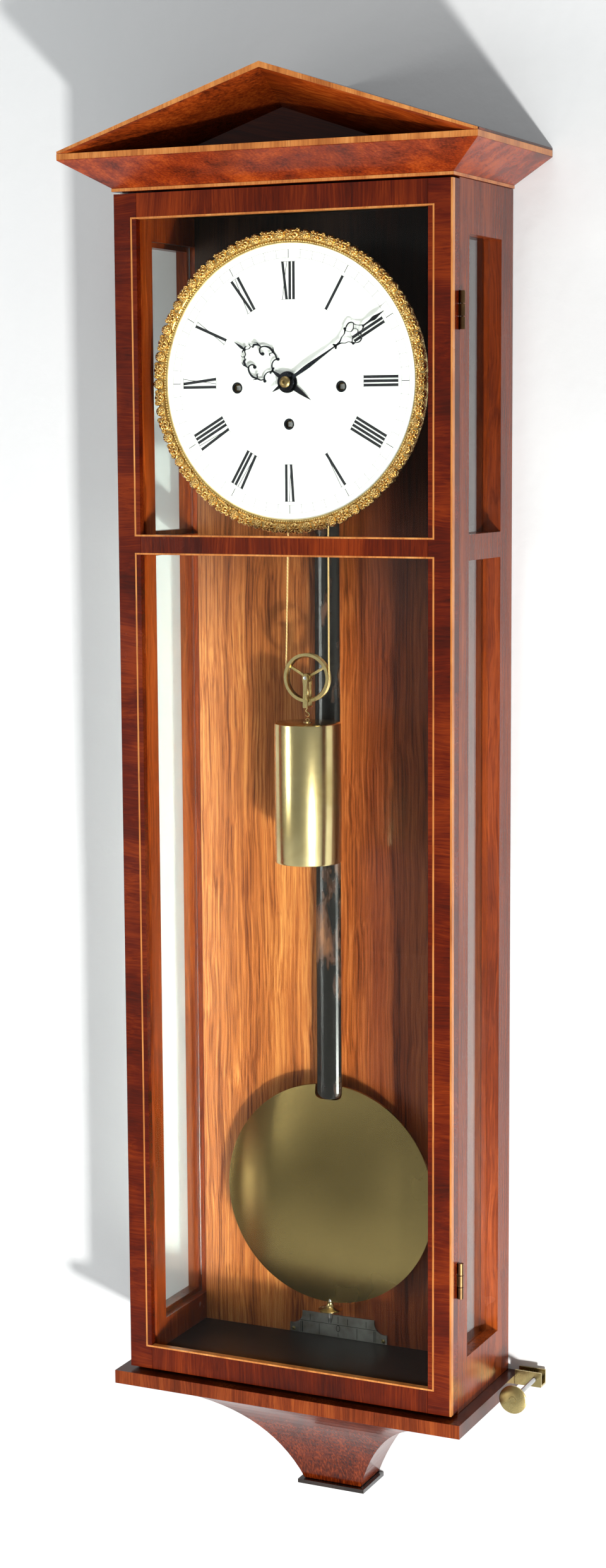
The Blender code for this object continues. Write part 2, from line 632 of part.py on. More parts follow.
def build_going_train():
    great = joint_empty("great_wheel_axis", (GOING_X, -GREAT_LAYER, GOING_Z))
    module = 2 * GOING_WINDER_DROP / (GREAT_TEETH + CENTRE_PINION)
    rim = module * GREAT_TEETH / 2 - GREAT_WHEEL_RIM
    arbor_hole = circle(hole_for(WINDING_ARBOR_RADIUS))
    outline = gear_outline(GREAT_TEETH, GOING_WINDER_DROP, CENTRE_PINION)
    loops = [outline, arbor_hole, *crossings(0.0060, rim, 4, 0.0015)]
    flat("great_wheel", loops, GREAT_LAYER, GREAT_LAYER + WHEEL_THICKNESS, "brass",
         (GOING_X, 0, GOING_Z), great)

    drum_axis = joint_empty("winding_drum_axis", (GOING_X, -DRUM_BACK, GOING_Z))
    shaft, shaft_end = WINDING_ARBOR_RADIUS, FRONT_PLATE + WINDING_ARBOR_STAND
    bevel_end = DRUM_FLANGE + DRUM_FLANGE_BEVEL
    profile = [
        (0, BACK_PLATE_BACK), (PIVOT_RADIUS, BACK_PLATE_BACK), (PIVOT_RADIUS, TRAIN_BACK),
        (shaft, TRAIN_BACK), (shaft, DRUM_BACK), (DRUM_FLANGE_RADIUS, DRUM_BACK),
        (DRUM_FLANGE_RADIUS, DRUM_BACK + DRUM_FLANGE), (DRUM_RADIUS, DRUM_BACK + bevel_end),
        (DRUM_RADIUS, DRUM_FRONT - bevel_end), (DRUM_FLANGE_RADIUS, DRUM_FRONT - DRUM_FLANGE),
        (DRUM_FLANGE_RADIUS, DRUM_FRONT), (shaft, DRUM_FRONT), (shaft, shaft_end), (0, shaft_end),
    ]
    drum = turned("winding_drum", profile, ROUND_SIDES, "brass", (GOING_X, 0, GOING_Z), "Y", drum_axis)
    combine(drum, [winding_square(GOING_X, GOING_Z)])

    centre = joint_empty("minute_axis", (0, -FRONT_PLATE, DIAL_Z))
    module = 2 * CENTRE_TO_THIRD / (CENTRE_TEETH + THIRD_PINION)
    rim = module * CENTRE_TEETH / 2 - WHEEL_RIM
    outline = gear_outline(CENTRE_TEETH, CENTRE_TO_THIRD, THIRD_PINION)
    half_tooth = math.pi / CENTRE_PINION
    arbor_end = PIPE_FRONT + CENTRE_ARBOR_END
    arbor = [(0, BACK_PLATE_BACK), (PIVOT_RADIUS, BACK_PLATE_BACK), (PIVOT_RADIUS, TRAIN_BACK),
             (TRAIN_ARBOR_RADIUS, TRAIN_BACK), (TRAIN_ARBOR_RADIUS, arbor_end), (0, arbor_end)]
    wheels = [
        ([outline, *crossings(0.0040, rim, 4, 0.0011)], CENTRE_LAYER, CENTRE_LAYER + WHEEL_THICKNESS),
        ([gear_outline(CENTRE_PINION, GOING_WINDER_DROP, GREAT_TEETH, half_tooth)],
         GREAT_LAYER - CENTRE_PINION_OVERLAP, GREAT_LAYER + WHEEL_THICKNESS + CENTRE_PINION_OVERLAP),
    ]
    wheel_on_arbor("centre_wheel", wheels, arbor, "brass", 0, DIAL_Z, centre)
    build_minute_hand(centre)

    third = joint_empty("third_wheel_axis", (THIRD_X, -THIRD_LAYER, THIRD_Z))
    module = 2 * THIRD_TO_ESCAPE / (THIRD_TEETH + ESCAPE_PINION)
    rim = module * THIRD_TEETH / 2 - WHEEL_RIM
    toward_centre = math.atan2(-THIRD_X, DIAL_Z - THIRD_Z)
    toward_escape = math.atan2(-THIRD_X, ESCAPE_Z - THIRD_Z)
    from_centre = math.atan2(THIRD_X, THIRD_Z - DIAL_Z)
    pinion_phase = meshing_phase(from_centre, CENTRE_TEETH, 0.0, toward_centre, THIRD_PINION)
    wheels = [
        ([gear_outline(THIRD_TEETH, THIRD_TO_ESCAPE, ESCAPE_PINION, toward_escape),
          *crossings(0.0036, rim, 4, 0.0011)], THIRD_LAYER, THIRD_LAYER + WHEEL_THICKNESS),
        ([gear_outline(THIRD_PINION, CENTRE_TO_THIRD, CENTRE_TEETH, pinion_phase)],
         CENTRE_LAYER - PINION_OVERLAP, CENTRE_LAYER + WHEEL_THICKNESS + PINION_OVERLAP),
    ]
    wheel_on_arbor("third_wheel", wheels, train_arbor(), "brass",
                   THIRD_X, THIRD_Z, third)

    escape = joint_empty("escape_wheel_axis", (0, -ESCAPE_LAYER, ESCAPE_Z))
    from_escape = math.atan2(THIRD_X, THIRD_Z - ESCAPE_Z)
    phase = from_escape + math.pi / ESCAPE_PINION
    wheels = [
        ([saw_outline(ESCAPE_TEETH, ESCAPE_RADIUS, ESCAPE_RADIUS - ESCAPE_TOOTH),
          *crossings(0.0030, ESCAPE_RADIUS - ESCAPE_RIM, 4, 0.0008)],
         ESCAPE_LAYER, ESCAPE_LAYER + WHEEL_THICKNESS),
        ([gear_outline(ESCAPE_PINION, THIRD_TO_ESCAPE, THIRD_TEETH, phase)],
         THIRD_LAYER - PINION_OVERLAP, THIRD_LAYER + WHEEL_THICKNESS + PINION_OVERLAP),
    ]
    wheel_on_arbor("escape_wheel", wheels, train_arbor(), "brass",
                   0, ESCAPE_Z, escape)


def meshing_phase(from_wheel, wheel_teeth, wheel_phase, toward_wheel, pinion_teeth):
    """The phase that puts a pinion's gap against the wheel's nearest tooth on the line of centres."""
    wheel_step = 2 * math.pi / wheel_teeth
    past_tooth = (from_wheel - wheel_phase) % wheel_step / wheel_step
    pinion_step = 2 * math.pi / pinion_teeth
    return toward_wheel + pinion_step * (0.5 + past_tooth)


def winding_square(x, z):
    """The square end that the key fits, just behind its hole in the dial."""
    half = WINDING_SQUARE / 2
    return helper_block((x - half, -(DIAL_BACK - GAP), z - half), (x + half, -FRONT_PLATE, z + half))


def build_anchor():
    axis = joint_empty("anchor_axis", (0, -ESCAPE_LAYER, PIVOT_Z))
    drop = PIVOT_Z - ESCAPE_Z
    reach = math.acos(ESCAPE_RADIUS / drop)
    stand_off = ESCAPE_RADIUS + PALLET_CLEARANCE
    pallet = (stand_off * math.sin(reach), stand_off * math.cos(reach) - drop)
    shoulder = (pallet[0] + 0.0030, pallet[1] + 0.0026)
    half = [(0.0030, 0.0022), (shoulder[0] - 0.0022, shoulder[1] + 0.0022), (shoulder[0], shoulder[1]),
            (pallet[0] + 0.0012, pallet[1]), (pallet[0], pallet[1] + 0.0002),
            (shoulder[0] - 0.0026, shoulder[1] - 0.0004), (0.0018, -0.0030)]
    outline = half + [(-x, z) for x, z in reversed(half)]
    anchor = turned("anchor", [
        (0, CRUTCH_LAYER), (ARBOR_RADIUS, CRUTCH_LAYER), (ARBOR_RADIUS, TRAIN_FRONT),
        (PIVOT_RADIUS, TRAIN_FRONT), (PIVOT_RADIUS, FRONT_PLATE), (0, FRONT_PLATE)],
        HOLE_SIDES, "steel", (0, 0, PIVOT_Z), "Y", axis)
    arms = flat("helper", [outline], ESCAPE_LAYER - PINION_OVERLAP,
                ESCAPE_LAYER + WHEEL_THICKNESS + PINION_OVERLAP, "steel", (0, 0, PIVOT_Z), axis)
    crutch_foot = PIVOT_Z - CRUTCH_LENGTH
    pin_half, pin_foot = CRUTCH_PIN_WIDTH / 2, crutch_foot + CRUTCH_PIN_RISE
    stem = helper_block((-CRUTCH_HALF_WIDTH, -CRUTCH_LAYER - 0.0010, crutch_foot),
                        (CRUTCH_HALF_WIDTH, -CRUTCH_LAYER + 0.0004, PIVOT_Z + 0.0006))
    pin = helper_block((-pin_half, -CRUTCH_LAYER, pin_foot),
                       (pin_half, -(PENDULUM_PLANE - CRUTCH_PIN_REACH), pin_foot + CRUTCH_PIN_HEIGHT))
    combine(anchor, [arms, stem, pin])


# ---------------------------------------------------------------- hands and motion work
HOUR_HAND_BACK = DIAL_FACE + HOUR_HAND_STAND
MINUTE_HAND_BACK = HOUR_HAND_BACK + HAND_SPACING
PIPE_FRONT = MINUTE_HAND_BACK + HAND_THICKNESS + HAND_PIPE_END
CANNON_BACK = FRONT_PLATE + CANNON_SPACE
HOUR_WHEEL_BACK = CANNON_BACK + HOUR_WHEEL_SPACE


def pointing(points, degrees):
    """Turns an outline drawn with the hand upright to its place on the dial."""
    turn = math.radians(degrees)
    return [(x * math.cos(turn) + z * math.sin(turn), z * math.cos(turn) - x * math.sin(turn))
            for x, z in points]


def mirrored(half):
    """A closed outline from its right-hand half, top to bottom."""
    return half + [(-x, z) for x, z in reversed(half) if x > 0]


def ring_with_hole(name, radius, hole, back, front, look, parent, sides=SMALL_SIDES):
    profile = [(hole, back), (radius, back), (radius, front), (hole, front)]
    return turned(name, profile, sides, look, (0, 0, DIAL_Z), "Y", parent)


def build_minute_hand(parent):
    length = MINUTE_HAND_LENGTH
    half = [(0.0, length), (0.0010, length - 0.012), (0.0006, length - 0.0185), (0.0022, length - 0.0205),
            (0.0008, length - 0.0225), (0.0050, length - 0.0275), (0.0062, length - 0.033),
            (0.0046, length - 0.040), (0.0012, length - 0.0445), (0.0022, length - 0.047),
            (0.0008, length - 0.049), (0.0016, 0.020), (0.0014, 0.0090), (0.0052, 0.0050),
            (0.0060, 0.0), (0.0050, -0.0048), (0.0014, -0.0075), (0.0003, -0.0125)]
    window_half = [(0.0, length - 0.0262), (0.0030, length - 0.0292), (0.0038, length - 0.033),
                   (0.0026, length - 0.0378), (0.0, length - 0.0402)]
    loops = [mirrored(half), mirrored(window_half), circle(hole_for(CANNON_RADIUS))]
    loops = [pointing(loop, MINUTE_HAND_ANGLE) for loop in loops]
    flat("minute_hand", loops, MINUTE_HAND_BACK, MINUTE_HAND_BACK + HAND_THICKNESS, "blued_steel",
         (0, 0, DIAL_Z), parent)
    nut_back = PIPE_FRONT + 2 * GAP
    dome = [(0, nut_back)] + [(HAND_NUT_RADIUS * wide, nut_back + HAND_NUT_HEIGHT * high) for wide, high in
                              ((1.0, 0.0), (1.0, 0.22), (0.80, 0.67), (0.45, 0.94), (0.0, 1.0))]
    turned("hand_nut", dome, SMALL_SIDES, "old_brass", (0, 0, DIAL_Z), "Y", parent)
    bore = hole_for(TRAIN_ARBOR_RADIUS)
    pipe = turned("cannon_pinion", [(bore, CANNON_BACK), (CANNON_RADIUS, CANNON_BACK),
                                    (CANNON_RADIUS, PIPE_FRONT), (bore, PIPE_FRONT)],
                  HOLE_SIDES, "steel", (0, 0, DIAL_Z), "Y", parent)
    pinion = gear_outline(CANNON_TEETH, MOTION_DISTANCE, MINUTE_TEETH, math.radians(45) + math.pi / 10)
    leaves = flat("helper", [pinion, circle(CANNON_RADIUS - 0.0004)], CANNON_BACK, CANNON_BACK + 0.0024,
                  "steel", (0, 0, DIAL_Z), parent)
    combine(pipe, [leaves])


def build_motion_work():
    axis = joint_empty("minute_wheel_axis", (MINUTE_X, -CANNON_BACK, MINUTE_Z))
    toward = math.radians(225)
    layers = [
        ([gear_outline(MINUTE_TEETH, MOTION_DISTANCE, CANNON_TEETH, toward)],
         CANNON_BACK + 0.0004, CANNON_BACK + 0.0018),
        ([gear_outline(MINUTE_PINION, MOTION_DISTANCE, HOUR_TEETH, toward)],
         CANNON_BACK + 0.0014, HOUR_WHEEL_BACK + 0.0020),
    ]
    arbor = [(0, FRONT_PLATE + GAP), (0.0012, FRONT_PLATE + GAP), (0.0012, HOUR_WHEEL_BACK + 0.0024),
             (0, HOUR_WHEEL_BACK + 0.0024)]
    wheel_on_arbor("minute_wheel", layers, arbor, "brass", MINUTE_X, MINUTE_Z, axis)

    hour = joint_empty("hour_axis", (0, -HOUR_WHEEL_BACK, DIAL_Z))
    bore = HOUR_PIPE_RADIUS - PIPE_WALL
    pipe = turned("hour_wheel", [(bore, HOUR_WHEEL_BACK), (HOUR_PIPE_RADIUS, HOUR_WHEEL_BACK),
                                 (HOUR_PIPE_RADIUS, HOUR_HAND_BACK + HAND_THICKNESS + 0.0003),
                                 (bore, HOUR_HAND_BACK + HAND_THICKNESS + 0.0003)],
                  SMALL_SIDES, "brass", (0, 0, DIAL_Z), "Y", hour)
    phase = math.radians(45) + math.pi / HOUR_TEETH
    rim = flat("helper", [gear_outline(HOUR_TEETH, MOTION_DISTANCE, MINUTE_PINION, phase),
                          circle(HOUR_PIPE_RADIUS - 0.0004)],
               HOUR_WHEEL_BACK + 0.0002, HOUR_WHEEL_BACK + 0.0016, "brass", (0, 0, DIAL_Z), hour)
    combine(pipe, [rim])
    build_hour_hand(hour)


def build_hour_hand(parent):
    length = HOUR_HAND_LENGTH
    half = [(0.0, length), (0.0013, length - 0.0060), (0.0030, 0.0400), (0.0125, 0.0345),
            (0.0150, 0.0300), (0.0125, 0.0220), (0.0090, 0.0170), (0.0030, 0.0140), (0.0024, 0.0100),
            (0.0054, 0.0056), (0.0076, 0.0), (0.0054, -0.0056), (0.0030, -0.0078), (0.0020, -0.0130),
            (0.0003, -0.0220)]
    window = [(0.0, 0.0375), (0.0080, 0.0325), (0.0110, 0.0290), (0.0085, 0.0225), (0.0, 0.0180)]
    loops = [mirrored(half), mirrored(window), circle(hole_for(HOUR_PIPE_RADIUS, SMALL_SIDES), SMALL_SIDES)]
    loops = [pointing(loop, HOUR_HAND_ANGLE) for loop in loops]
    flat("hour_hand", loops, HOUR_HAND_BACK, HOUR_HAND_BACK + HAND_THICKNESS, "blued_steel",
         (0, 0, DIAL_Z), parent)


# ---------------------------------------------------------------- movement frame and dial
def build_movement():
    half_x, half_z = PLATE_HALF_WIDTH, PLATE_HALF_HEIGHT
    outline = [(-half_x, -half_z), (half_x, -half_z), (half_x, half_z), (-half_x, half_z)]
    pivots = [(THIRD_X, THIRD_Z), (0, ESCAPE_Z)]
    hammers = [(side * HAMMER_X, HAMMER_Z) for side in (-1, 1)]
    barrels = [(side * STRIKE_WINDER_X, STRIKE_Z) for side in (-1, 1)]

    def holes(places, radius):
        size = hole_for(radius)
        return [circle(size, HOLE_SIDES, (x, z - DIAL_Z)) for x, z in places]

    shaft = WINDING_ARBOR_RADIUS
    back_holes = holes(pivots + [(0, DIAL_Z), (GOING_X, GOING_Z)] + barrels, PIVOT_RADIUS)
    back_holes += holes([(0, PIVOT_Z)], ARBOR_RADIUS) + holes(hammers, ARBOR_RADIUS)
    front_holes = holes(pivots + [(0, PIVOT_Z)] + hammers, PIVOT_RADIUS)
    front_holes += holes([(0, DIAL_Z)], TRAIN_ARBOR_RADIUS) + holes([(GOING_X, GOING_Z)] + barrels, shaft)
    pillars = [(side * (half_x - PILLAR_INSET), DIAL_Z + end * (half_z - PILLAR_INSET))
               for side in (-1, 1) for end in (-1, 1)]

    flat("front_plate", [outline, *front_holes], FRONT_PLATE_BACK, FRONT_PLATE, "brass", (0, 0, DIAL_Z))
    plate = flat("back_plate", [outline, *back_holes], BACK_PLATE_BACK, BACK_PLATE, "brass", (0, 0, DIAL_Z))
    posts = [rod("helper", PILLAR_RADIUS, BACK_PLATE - 0.001, FRONT_PLATE_BACK - GAP, "brass", (x, 0, z))
             for x, z in pillars]
    posts.append(rod("helper", LINE_POST_RADIUS, BACK_PLATE - 0.001, FRONT_PLATE_BACK - GAP, "brass",
                     (LINE_POST_X, 0, LINE_POST_Z)))
    combine(plate, posts)

    bracket_face = BACK_BOARD_FRONT + GAP
    foot = bracket_face + BRACKET_THICKNESS
    root = foot - BRACKET_THICKNESS / 3
    bracket = block("movement_bracket", (-BRACKET_HALF_WIDTH, -foot, PIVOT_Z - BRACKET_DROP),
                    (BRACKET_HALF_WIDTH, -bracket_face, PIVOT_Z + BRACKET_RISE), "steel")
    cheeks = [helper_block((middle - CHEEK_HALF_WIDTH, -(BACK_PLATE_BACK - GAP), PIVOT_Z - CHEEK_DROP),
                           (middle + CHEEK_HALF_WIDTH, -root, PIVOT_Z + CHEEK_RISE))
              for middle in (-CHEEK_X, CHEEK_X)]
    cock = helper_block((-COCK_HALF_WIDTH, -(PENDULUM_PLANE + SPRING_WIDTH / 2 + COCK_REACH), PIVOT_Z + GAP),
                        (COCK_HALF_WIDTH, -root, PIVOT_Z + COCK_HEIGHT))
    combine(bracket, [*cheeks, cock])


def build_dial():
    winders = [(-STRIKE_WINDER_X, STRIKE_Z), (STRIKE_WINDER_X, STRIKE_Z), (GOING_X, GOING_Z)]
    holes = [circle(WINDING_HOLE_RADIUS, SMALL_SIDES, (x, z - DIAL_Z)) for x, z in winders]
    centre = circle(HOUR_PIPE_RADIUS + 0.0007, SMALL_SIDES)
    flat("dial", [circle(DIAL_RADIUS, LARGE_SIDES), centre, *holes], DIAL_BACK, DIAL_FACE, "enamel",
         (0, 0, DIAL_Z))
    inner, outer = DIAL_RADIUS - BEZEL_LIP, BEZEL_RADIUS
    seat = DIAL_FACE + GAP
    rim_hole = DIAL_RADIUS + 2 * GAP
    profile = [(inner, seat), (rim_hole, seat), (rim_hole, DIAL_BACK), (outer - 0.0015, DIAL_BACK),
               (outer, DIAL_FACE + 0.0010), (outer - 0.0015, DIAL_FACE + BEZEL_RISE - 0.0012),
               (outer - 0.0045, DIAL_FACE + BEZEL_RISE), (inner + 0.0030, DIAL_FACE + 0.0030),
               (inner, DIAL_FACE + 0.0012)]
    turned("dial_bezel", profile, LARGE_SIDES, "gilt", (0, 0, DIAL_Z))


# ---------------------------------------------------------------- strike
def build_strike():
    for side, word in ((-1, "left"), (1, "right")):
        x = side * STRIKE_WINDER_X
        axis = joint_empty("strike_barrel_" + word + "_axis", (x, -DRUM_BACK, STRIKE_Z))
        back, front = DRUM_BACK + BARREL_INSET, DRUM_FRONT - BARREL_INSET
        shaft, shaft_end = WINDING_ARBOR_RADIUS, FRONT_PLATE + WINDING_ARBOR_STAND
        profile = [
            (0, BACK_PLATE_BACK), (PIVOT_RADIUS, BACK_PLATE_BACK), (PIVOT_RADIUS, TRAIN_BACK),
            (shaft, TRAIN_BACK), (shaft, back), (BARREL_RADIUS, back), (BARREL_RADIUS, front),
            (shaft, front), (shaft, shaft_end), (0, shaft_end),
        ]
        barrel = turned("strike_barrel_" + word, profile, ROUND_SIDES, "brass", (x, 0, STRIKE_Z), "Y", axis)
        combine(barrel, [winding_square(x, STRIKE_Z)])

    layers = {word: BACK_BOARD_FRONT + away for word, away in GONG_LAYERS.items()}
    block_top = GONG_Z - GONG_RADIUS - 2 * GONG_WIRE
    stand = block("gongs", (-GONG_BLOCK_HALF_WIDTH, -(layers["hour"] + 3 * GONG_WIRE),
                            block_top - GONG_BLOCK_HEIGHT),
                  (GONG_BLOCK_HALF_WIDTH, -(BACK_BOARD_FRONT + GAP), block_top), "steel")
    coils = []
    for layer in layers.values():
        count = int(16 * GONG_TURNS)
        path = []
        for k in range(count + 1):
            share = k / count
            turn = -math.pi / 2 + 2 * math.pi * GONG_TURNS * share
            radius = GONG_RADIUS - (GONG_RADIUS - GONG_INNER_RADIUS) * share
            path.append((radius * math.cos(turn), -layer, GONG_Z + radius * math.sin(turn)))
        path.insert(0, (0, -layer, block_top - GONG_BLOCK_HEIGHT * 0.4))
        coils.append(add_piece("helper", tube_mesh("coil", path, GONG_WIRE, 1), (0, 0, 0), "steel"))
    combine(stand, coils)

    for side, word, strikes in ((-1, "quarter", layers["quarter"]), (1, "hour", layers["hour"])):
        x = side * HAMMER_X
        axis = joint_empty("hammer_" + word + "_axis", (x, -BACK_PLATE_BACK, HAMMER_Z))
        head_x = side * (GONG_RADIUS + GONG_WIRE + HAMMER_RADIUS + HAMMER_CLEARANCE)
        arm_back, arm_front = BACK_PLATE_BACK - HAMMER_ARM_BACK, BACK_PLATE_BACK - HAMMER_ARM_FRONT
        hammer = turned("hammer_" + word, [
            (0, arm_back - 0.0006), (ARBOR_RADIUS, arm_back - 0.0006), (ARBOR_RADIUS, TRAIN_FRONT),
            (PIVOT_RADIUS, TRAIN_FRONT), (PIVOT_RADIUS, FRONT_PLATE), (0, FRONT_PLATE)],
            HOLE_SIDES, "steel", (x, 0, HAMMER_Z), "Y", axis)
        span = Vector((head_x - x, GONG_Z - HAMMER_Z))
        across = Vector((-span.y, span.x)).normalized() * HAMMER_ARM_HALF_WIDTH
        corners = [across, -across, span - across, span + across]
        arm = flat("helper", [[(c.x, c.y) for c in corners]], arm_back, arm_front, "steel",
                   (x, 0, HAMMER_Z), axis)
        hub = rod("helper", HAMMER_HUB_RADIUS, arm_back - 0.0003, arm_front + 0.0003, "steel",
                  (x, 0, HAMMER_Z))
        head = rod("helper", HAMMER_RADIUS, strikes - 0.0018, arm_front + 0.0004, "brass",
                   (head_x, 0, GONG_Z))
        combine(hammer, [arm, hub, head])


# ---------------------------------------------------------------- pendulum
def ellipse(width, depth, sides=24):
    turns = [2 * math.pi * k / sides for k in range(sides)]
    return [(width / 2 * math.cos(t), depth / 2 * math.sin(t)) for t in turns]


def build_pendulum():
    axis = joint_empty("pendulum_axis", (0, -PENDULUM_PLANE, PIVOT_Z))
    rod_top = PIVOT_Z - SPRING_LENGTH - FERRULE_HEIGHT - GAP
    rod_foot = BOB_Z + BOB_RADIUS - ROD_NOTCH_DEPTH + GAP
    half = SPRING_THICKNESS / 2
    spring = block("suspension_spring", (-half, -(PENDULUM_PLANE + SPRING_WIDTH / 2), rod_top + 0.004),
                   (half, -(PENDULUM_PLANE - SPRING_WIDTH / 2), PIVOT_Z), "steel", axis)
    ferrule = helper_block(
        (-FERRULE_HALF_WIDTH, -(PENDULUM_PLANE + FERRULE_HALF_DEPTH), rod_top + GAP),
        (FERRULE_HALF_WIDTH, -(PENDULUM_PLANE - FERRULE_HALF_DEPTH), rod_top + GAP + FERRULE_HEIGHT))
    combine(spring, [ferrule])

    rounded = [(0.0, 0.55), (0.0008, 0.76), (0.0024, 0.92), (0.0045, 1.0)]
    levels = [(rod_foot + rise, share) for rise, share in rounded] + [(rod_top, 1.0)]
    rings = [[(x, y, z) for x, y in ellipse(ROD_WIDTH * share, ROD_DEPTH)] for z, share in levels]
    wood = loft("pendulum_rod", rings, "ebonised", axis, (0, -PENDULUM_PLANE, 0))
    wood.data.shade_smooth()
    wood.data.set_sharp_from_angle(angle=math.radians(50))
    pin_top = PIVOT_Z - CRUTCH_LENGTH + CRUTCH_PIN_RISE + CRUTCH_PIN_HEIGHT
    slot_half, slot_top = CRUTCH_PIN_WIDTH / 2 + GAP, pin_top + CRUTCH_SLOT_ABOVE
    slot = helper_block((-slot_half, -(PENDULUM_PLANE + ROD_DEPTH), slot_top - CRUTCH_SLOT_HEIGHT),
                        (slot_half, -(PENDULUM_PLANE - ROD_DEPTH), slot_top))
    cut(wood, [slot])

    nut_top = BOB_FOOT - GAP
    nut_foot = nut_top - RATING_NUT_HEIGHT
    pointer = nut_foot - POINTER_LENGTH
    rod_low, rod_high = pointer, rod_foot - GAP
    thread = RATING_ROD_RADIUS
    turned("rating_rod", [(0, rod_low - PIVOT_Z), (thread * 0.5, rod_low - PIVOT_Z + 0.0004),
                          (thread, rod_low - PIVOT_Z + 0.004), (thread, rod_high - PIVOT_Z),
                          (0, rod_high - PIVOT_Z)],
           SMALL_SIDES, "steel", (0, -PENDULUM_PLANE, PIVOT_Z), "Z", axis)

    rings = 4
    front = [(BOB_RADIUS * math.sin(math.pi / 2 * k / rings),
              BOB_EDGE / 2 + (BOB_THICKNESS / 2 - BOB_EDGE / 2) * math.cos(math.pi / 2 * k / rings) ** 1.2)
             for k in range(rings + 1)]
    profile = front + [(radius, -rise) for radius, rise in reversed(front)]
    bob = turned("pendulum_bob", profile, LARGE_SIDES, "old_brass", (0, -PENDULUM_PLANE, BOB_Z), "Y", axis)
    notch_low = BOB_Z + BOB_RADIUS - ROD_NOTCH_DEPTH
    notch_half = ROD_WIDTH / 2 + NOTCH_SIDE_CLEARANCE
    corner = [(notch_half * share, rise)
              for share, rise in ((0.52, 0.0), (0.80, 0.0010), (1.0, 0.0040), (1.0, 0.03))]
    notch_side = corner + [(-x, z) for x, z in reversed(corner)]
    notch = prism("helper", notch_side, -0.02, 0.02, "Y", "brass", None, (0, -PENDULUM_PLANE, notch_low))
    channel = rod("helper", hole_for(thread), BOB_FOOT - 0.01, BOB_Z + BOB_RADIUS, "brass",
                  (0, -PENDULUM_PLANE, 0), "Z", HOLE_SIDES)
    cut(bob, [notch, channel])

    nut_axis = joint_empty("rating_nut_axis", (0, -PENDULUM_PLANE, nut_foot))
    bore = hole_for(thread, SMALL_SIDES)
    disc = RATING_NUT_RADIUS
    turned("rating_nut", [(bore, 0), (RATING_CONE_FOOT, 0), (RATING_CONE_FOOT + 0.0004, 0.0012),
                          (disc, 0.0022), (disc, 0.0032), (RATING_CONE_FOOT, 0.0042),
                          (RATING_CONE_TOP, RATING_NUT_HEIGHT), (bore, RATING_NUT_HEIGHT)],
           ROUND_SIDES, "brass", (0, -PENDULUM_PLANE, nut_foot), "Z", nut_axis)


# ---------------------------------------------------------------- weight, pulley and line
def build_weight():
    slide = joint_empty("weight_axis", (0, -WEIGHT_PLANE, PULLEY_Z))
    radius = WEIGHT_RADIUS
    turned("weight", [(0, -WEIGHT_HEIGHT), (radius - 0.001, -WEIGHT_HEIGHT),
                      (radius, -WEIGHT_HEIGHT + 0.001), (radius, -0.0008), (radius - 0.0008, 0),
                      (0.0030, 0), (EYE_RADIUS, 0.0008), (EYE_RADIUS, EYE_HEIGHT), (0, EYE_HEIGHT)],
           LARGE_SIDES, "brass", (0, -WEIGHT_PLANE, WEIGHT_TOP), "Z", slide)

    spin = joint_empty("pulley_axis", (0, -WEIGHT_PLANE, PULLEY_Z))
    half = PULLEY_THICKNESS / 2
    groove = PULLEY_RADIUS - PULLEY_GROOVE
    rim_inner = PULLEY_RADIUS - PULLEY_RIM
    rim = turned("pulley", [(rim_inner, -half), (PULLEY_RADIUS, -half), (groove, -0.0007), (groove, 0.0007),
                            (PULLEY_RADIUS, half), (rim_inner, half)],
                 ROUND_SIDES, "brass", (0, -WEIGHT_PLANE, PULLEY_Z), "Y", spin)
    disc = [circle(rim_inner + 0.001, ROUND_SIDES), circle(hole_for(ARBOR_RADIUS)),
            *crossings(0.0042, rim_inner - 0.0006, 3, 0.0013)]
    disc = [pointing(loop, 180) for loop in disc]
    arms = flat("helper", disc, -PULLEY_WEB / 2, PULLEY_WEB / 2, "brass", (0, -WEIGHT_PLANE, PULLEY_Z), spin)
    combine(rim, [arms])

    cheek_in, cheek_out = half + STIRRUP_SPACE, half + STIRRUP_SPACE + STIRRUP_CHEEK
    foot = PULLEY_Z - PULLEY_RADIUS - STIRRUP_FOOT
    pin = rod("pulley_stirrup", ARBOR_RADIUS, WEIGHT_PLANE - cheek_out, WEIGHT_PLANE + cheek_out, "brass",
              (0, 0, PULLEY_Z), "Y", HOLE_SIDES, slide)
    half_width, tuck = STIRRUP_HALF_WIDTH, 0.0001
    cheeks = [helper_block((-half_width, side * cheek_in - WEIGHT_PLANE, foot),
                           (half_width, side * cheek_out - WEIGHT_PLANE, PULLEY_Z + 0.003))
              for side in (-1, 1)]
    bridge = helper_block((tuck - half_width, tuck - WEIGHT_PLANE - cheek_out, foot - 0.0016),
                          (half_width - tuck, cheek_out - WEIGHT_PLANE - tuck, foot + 0.0005))
    hook_top, hook_low = foot - 0.001, WEIGHT_TOP + EYE_HEIGHT + GAP
    stem = rod("helper", HOOK_RADIUS, hook_low, hook_top, "brass", (0, -WEIGHT_PLANE, 0), "Z", HOLE_SIDES)
    combine(pin, [*cheeks, bridge, stem])
    build_line(slide)


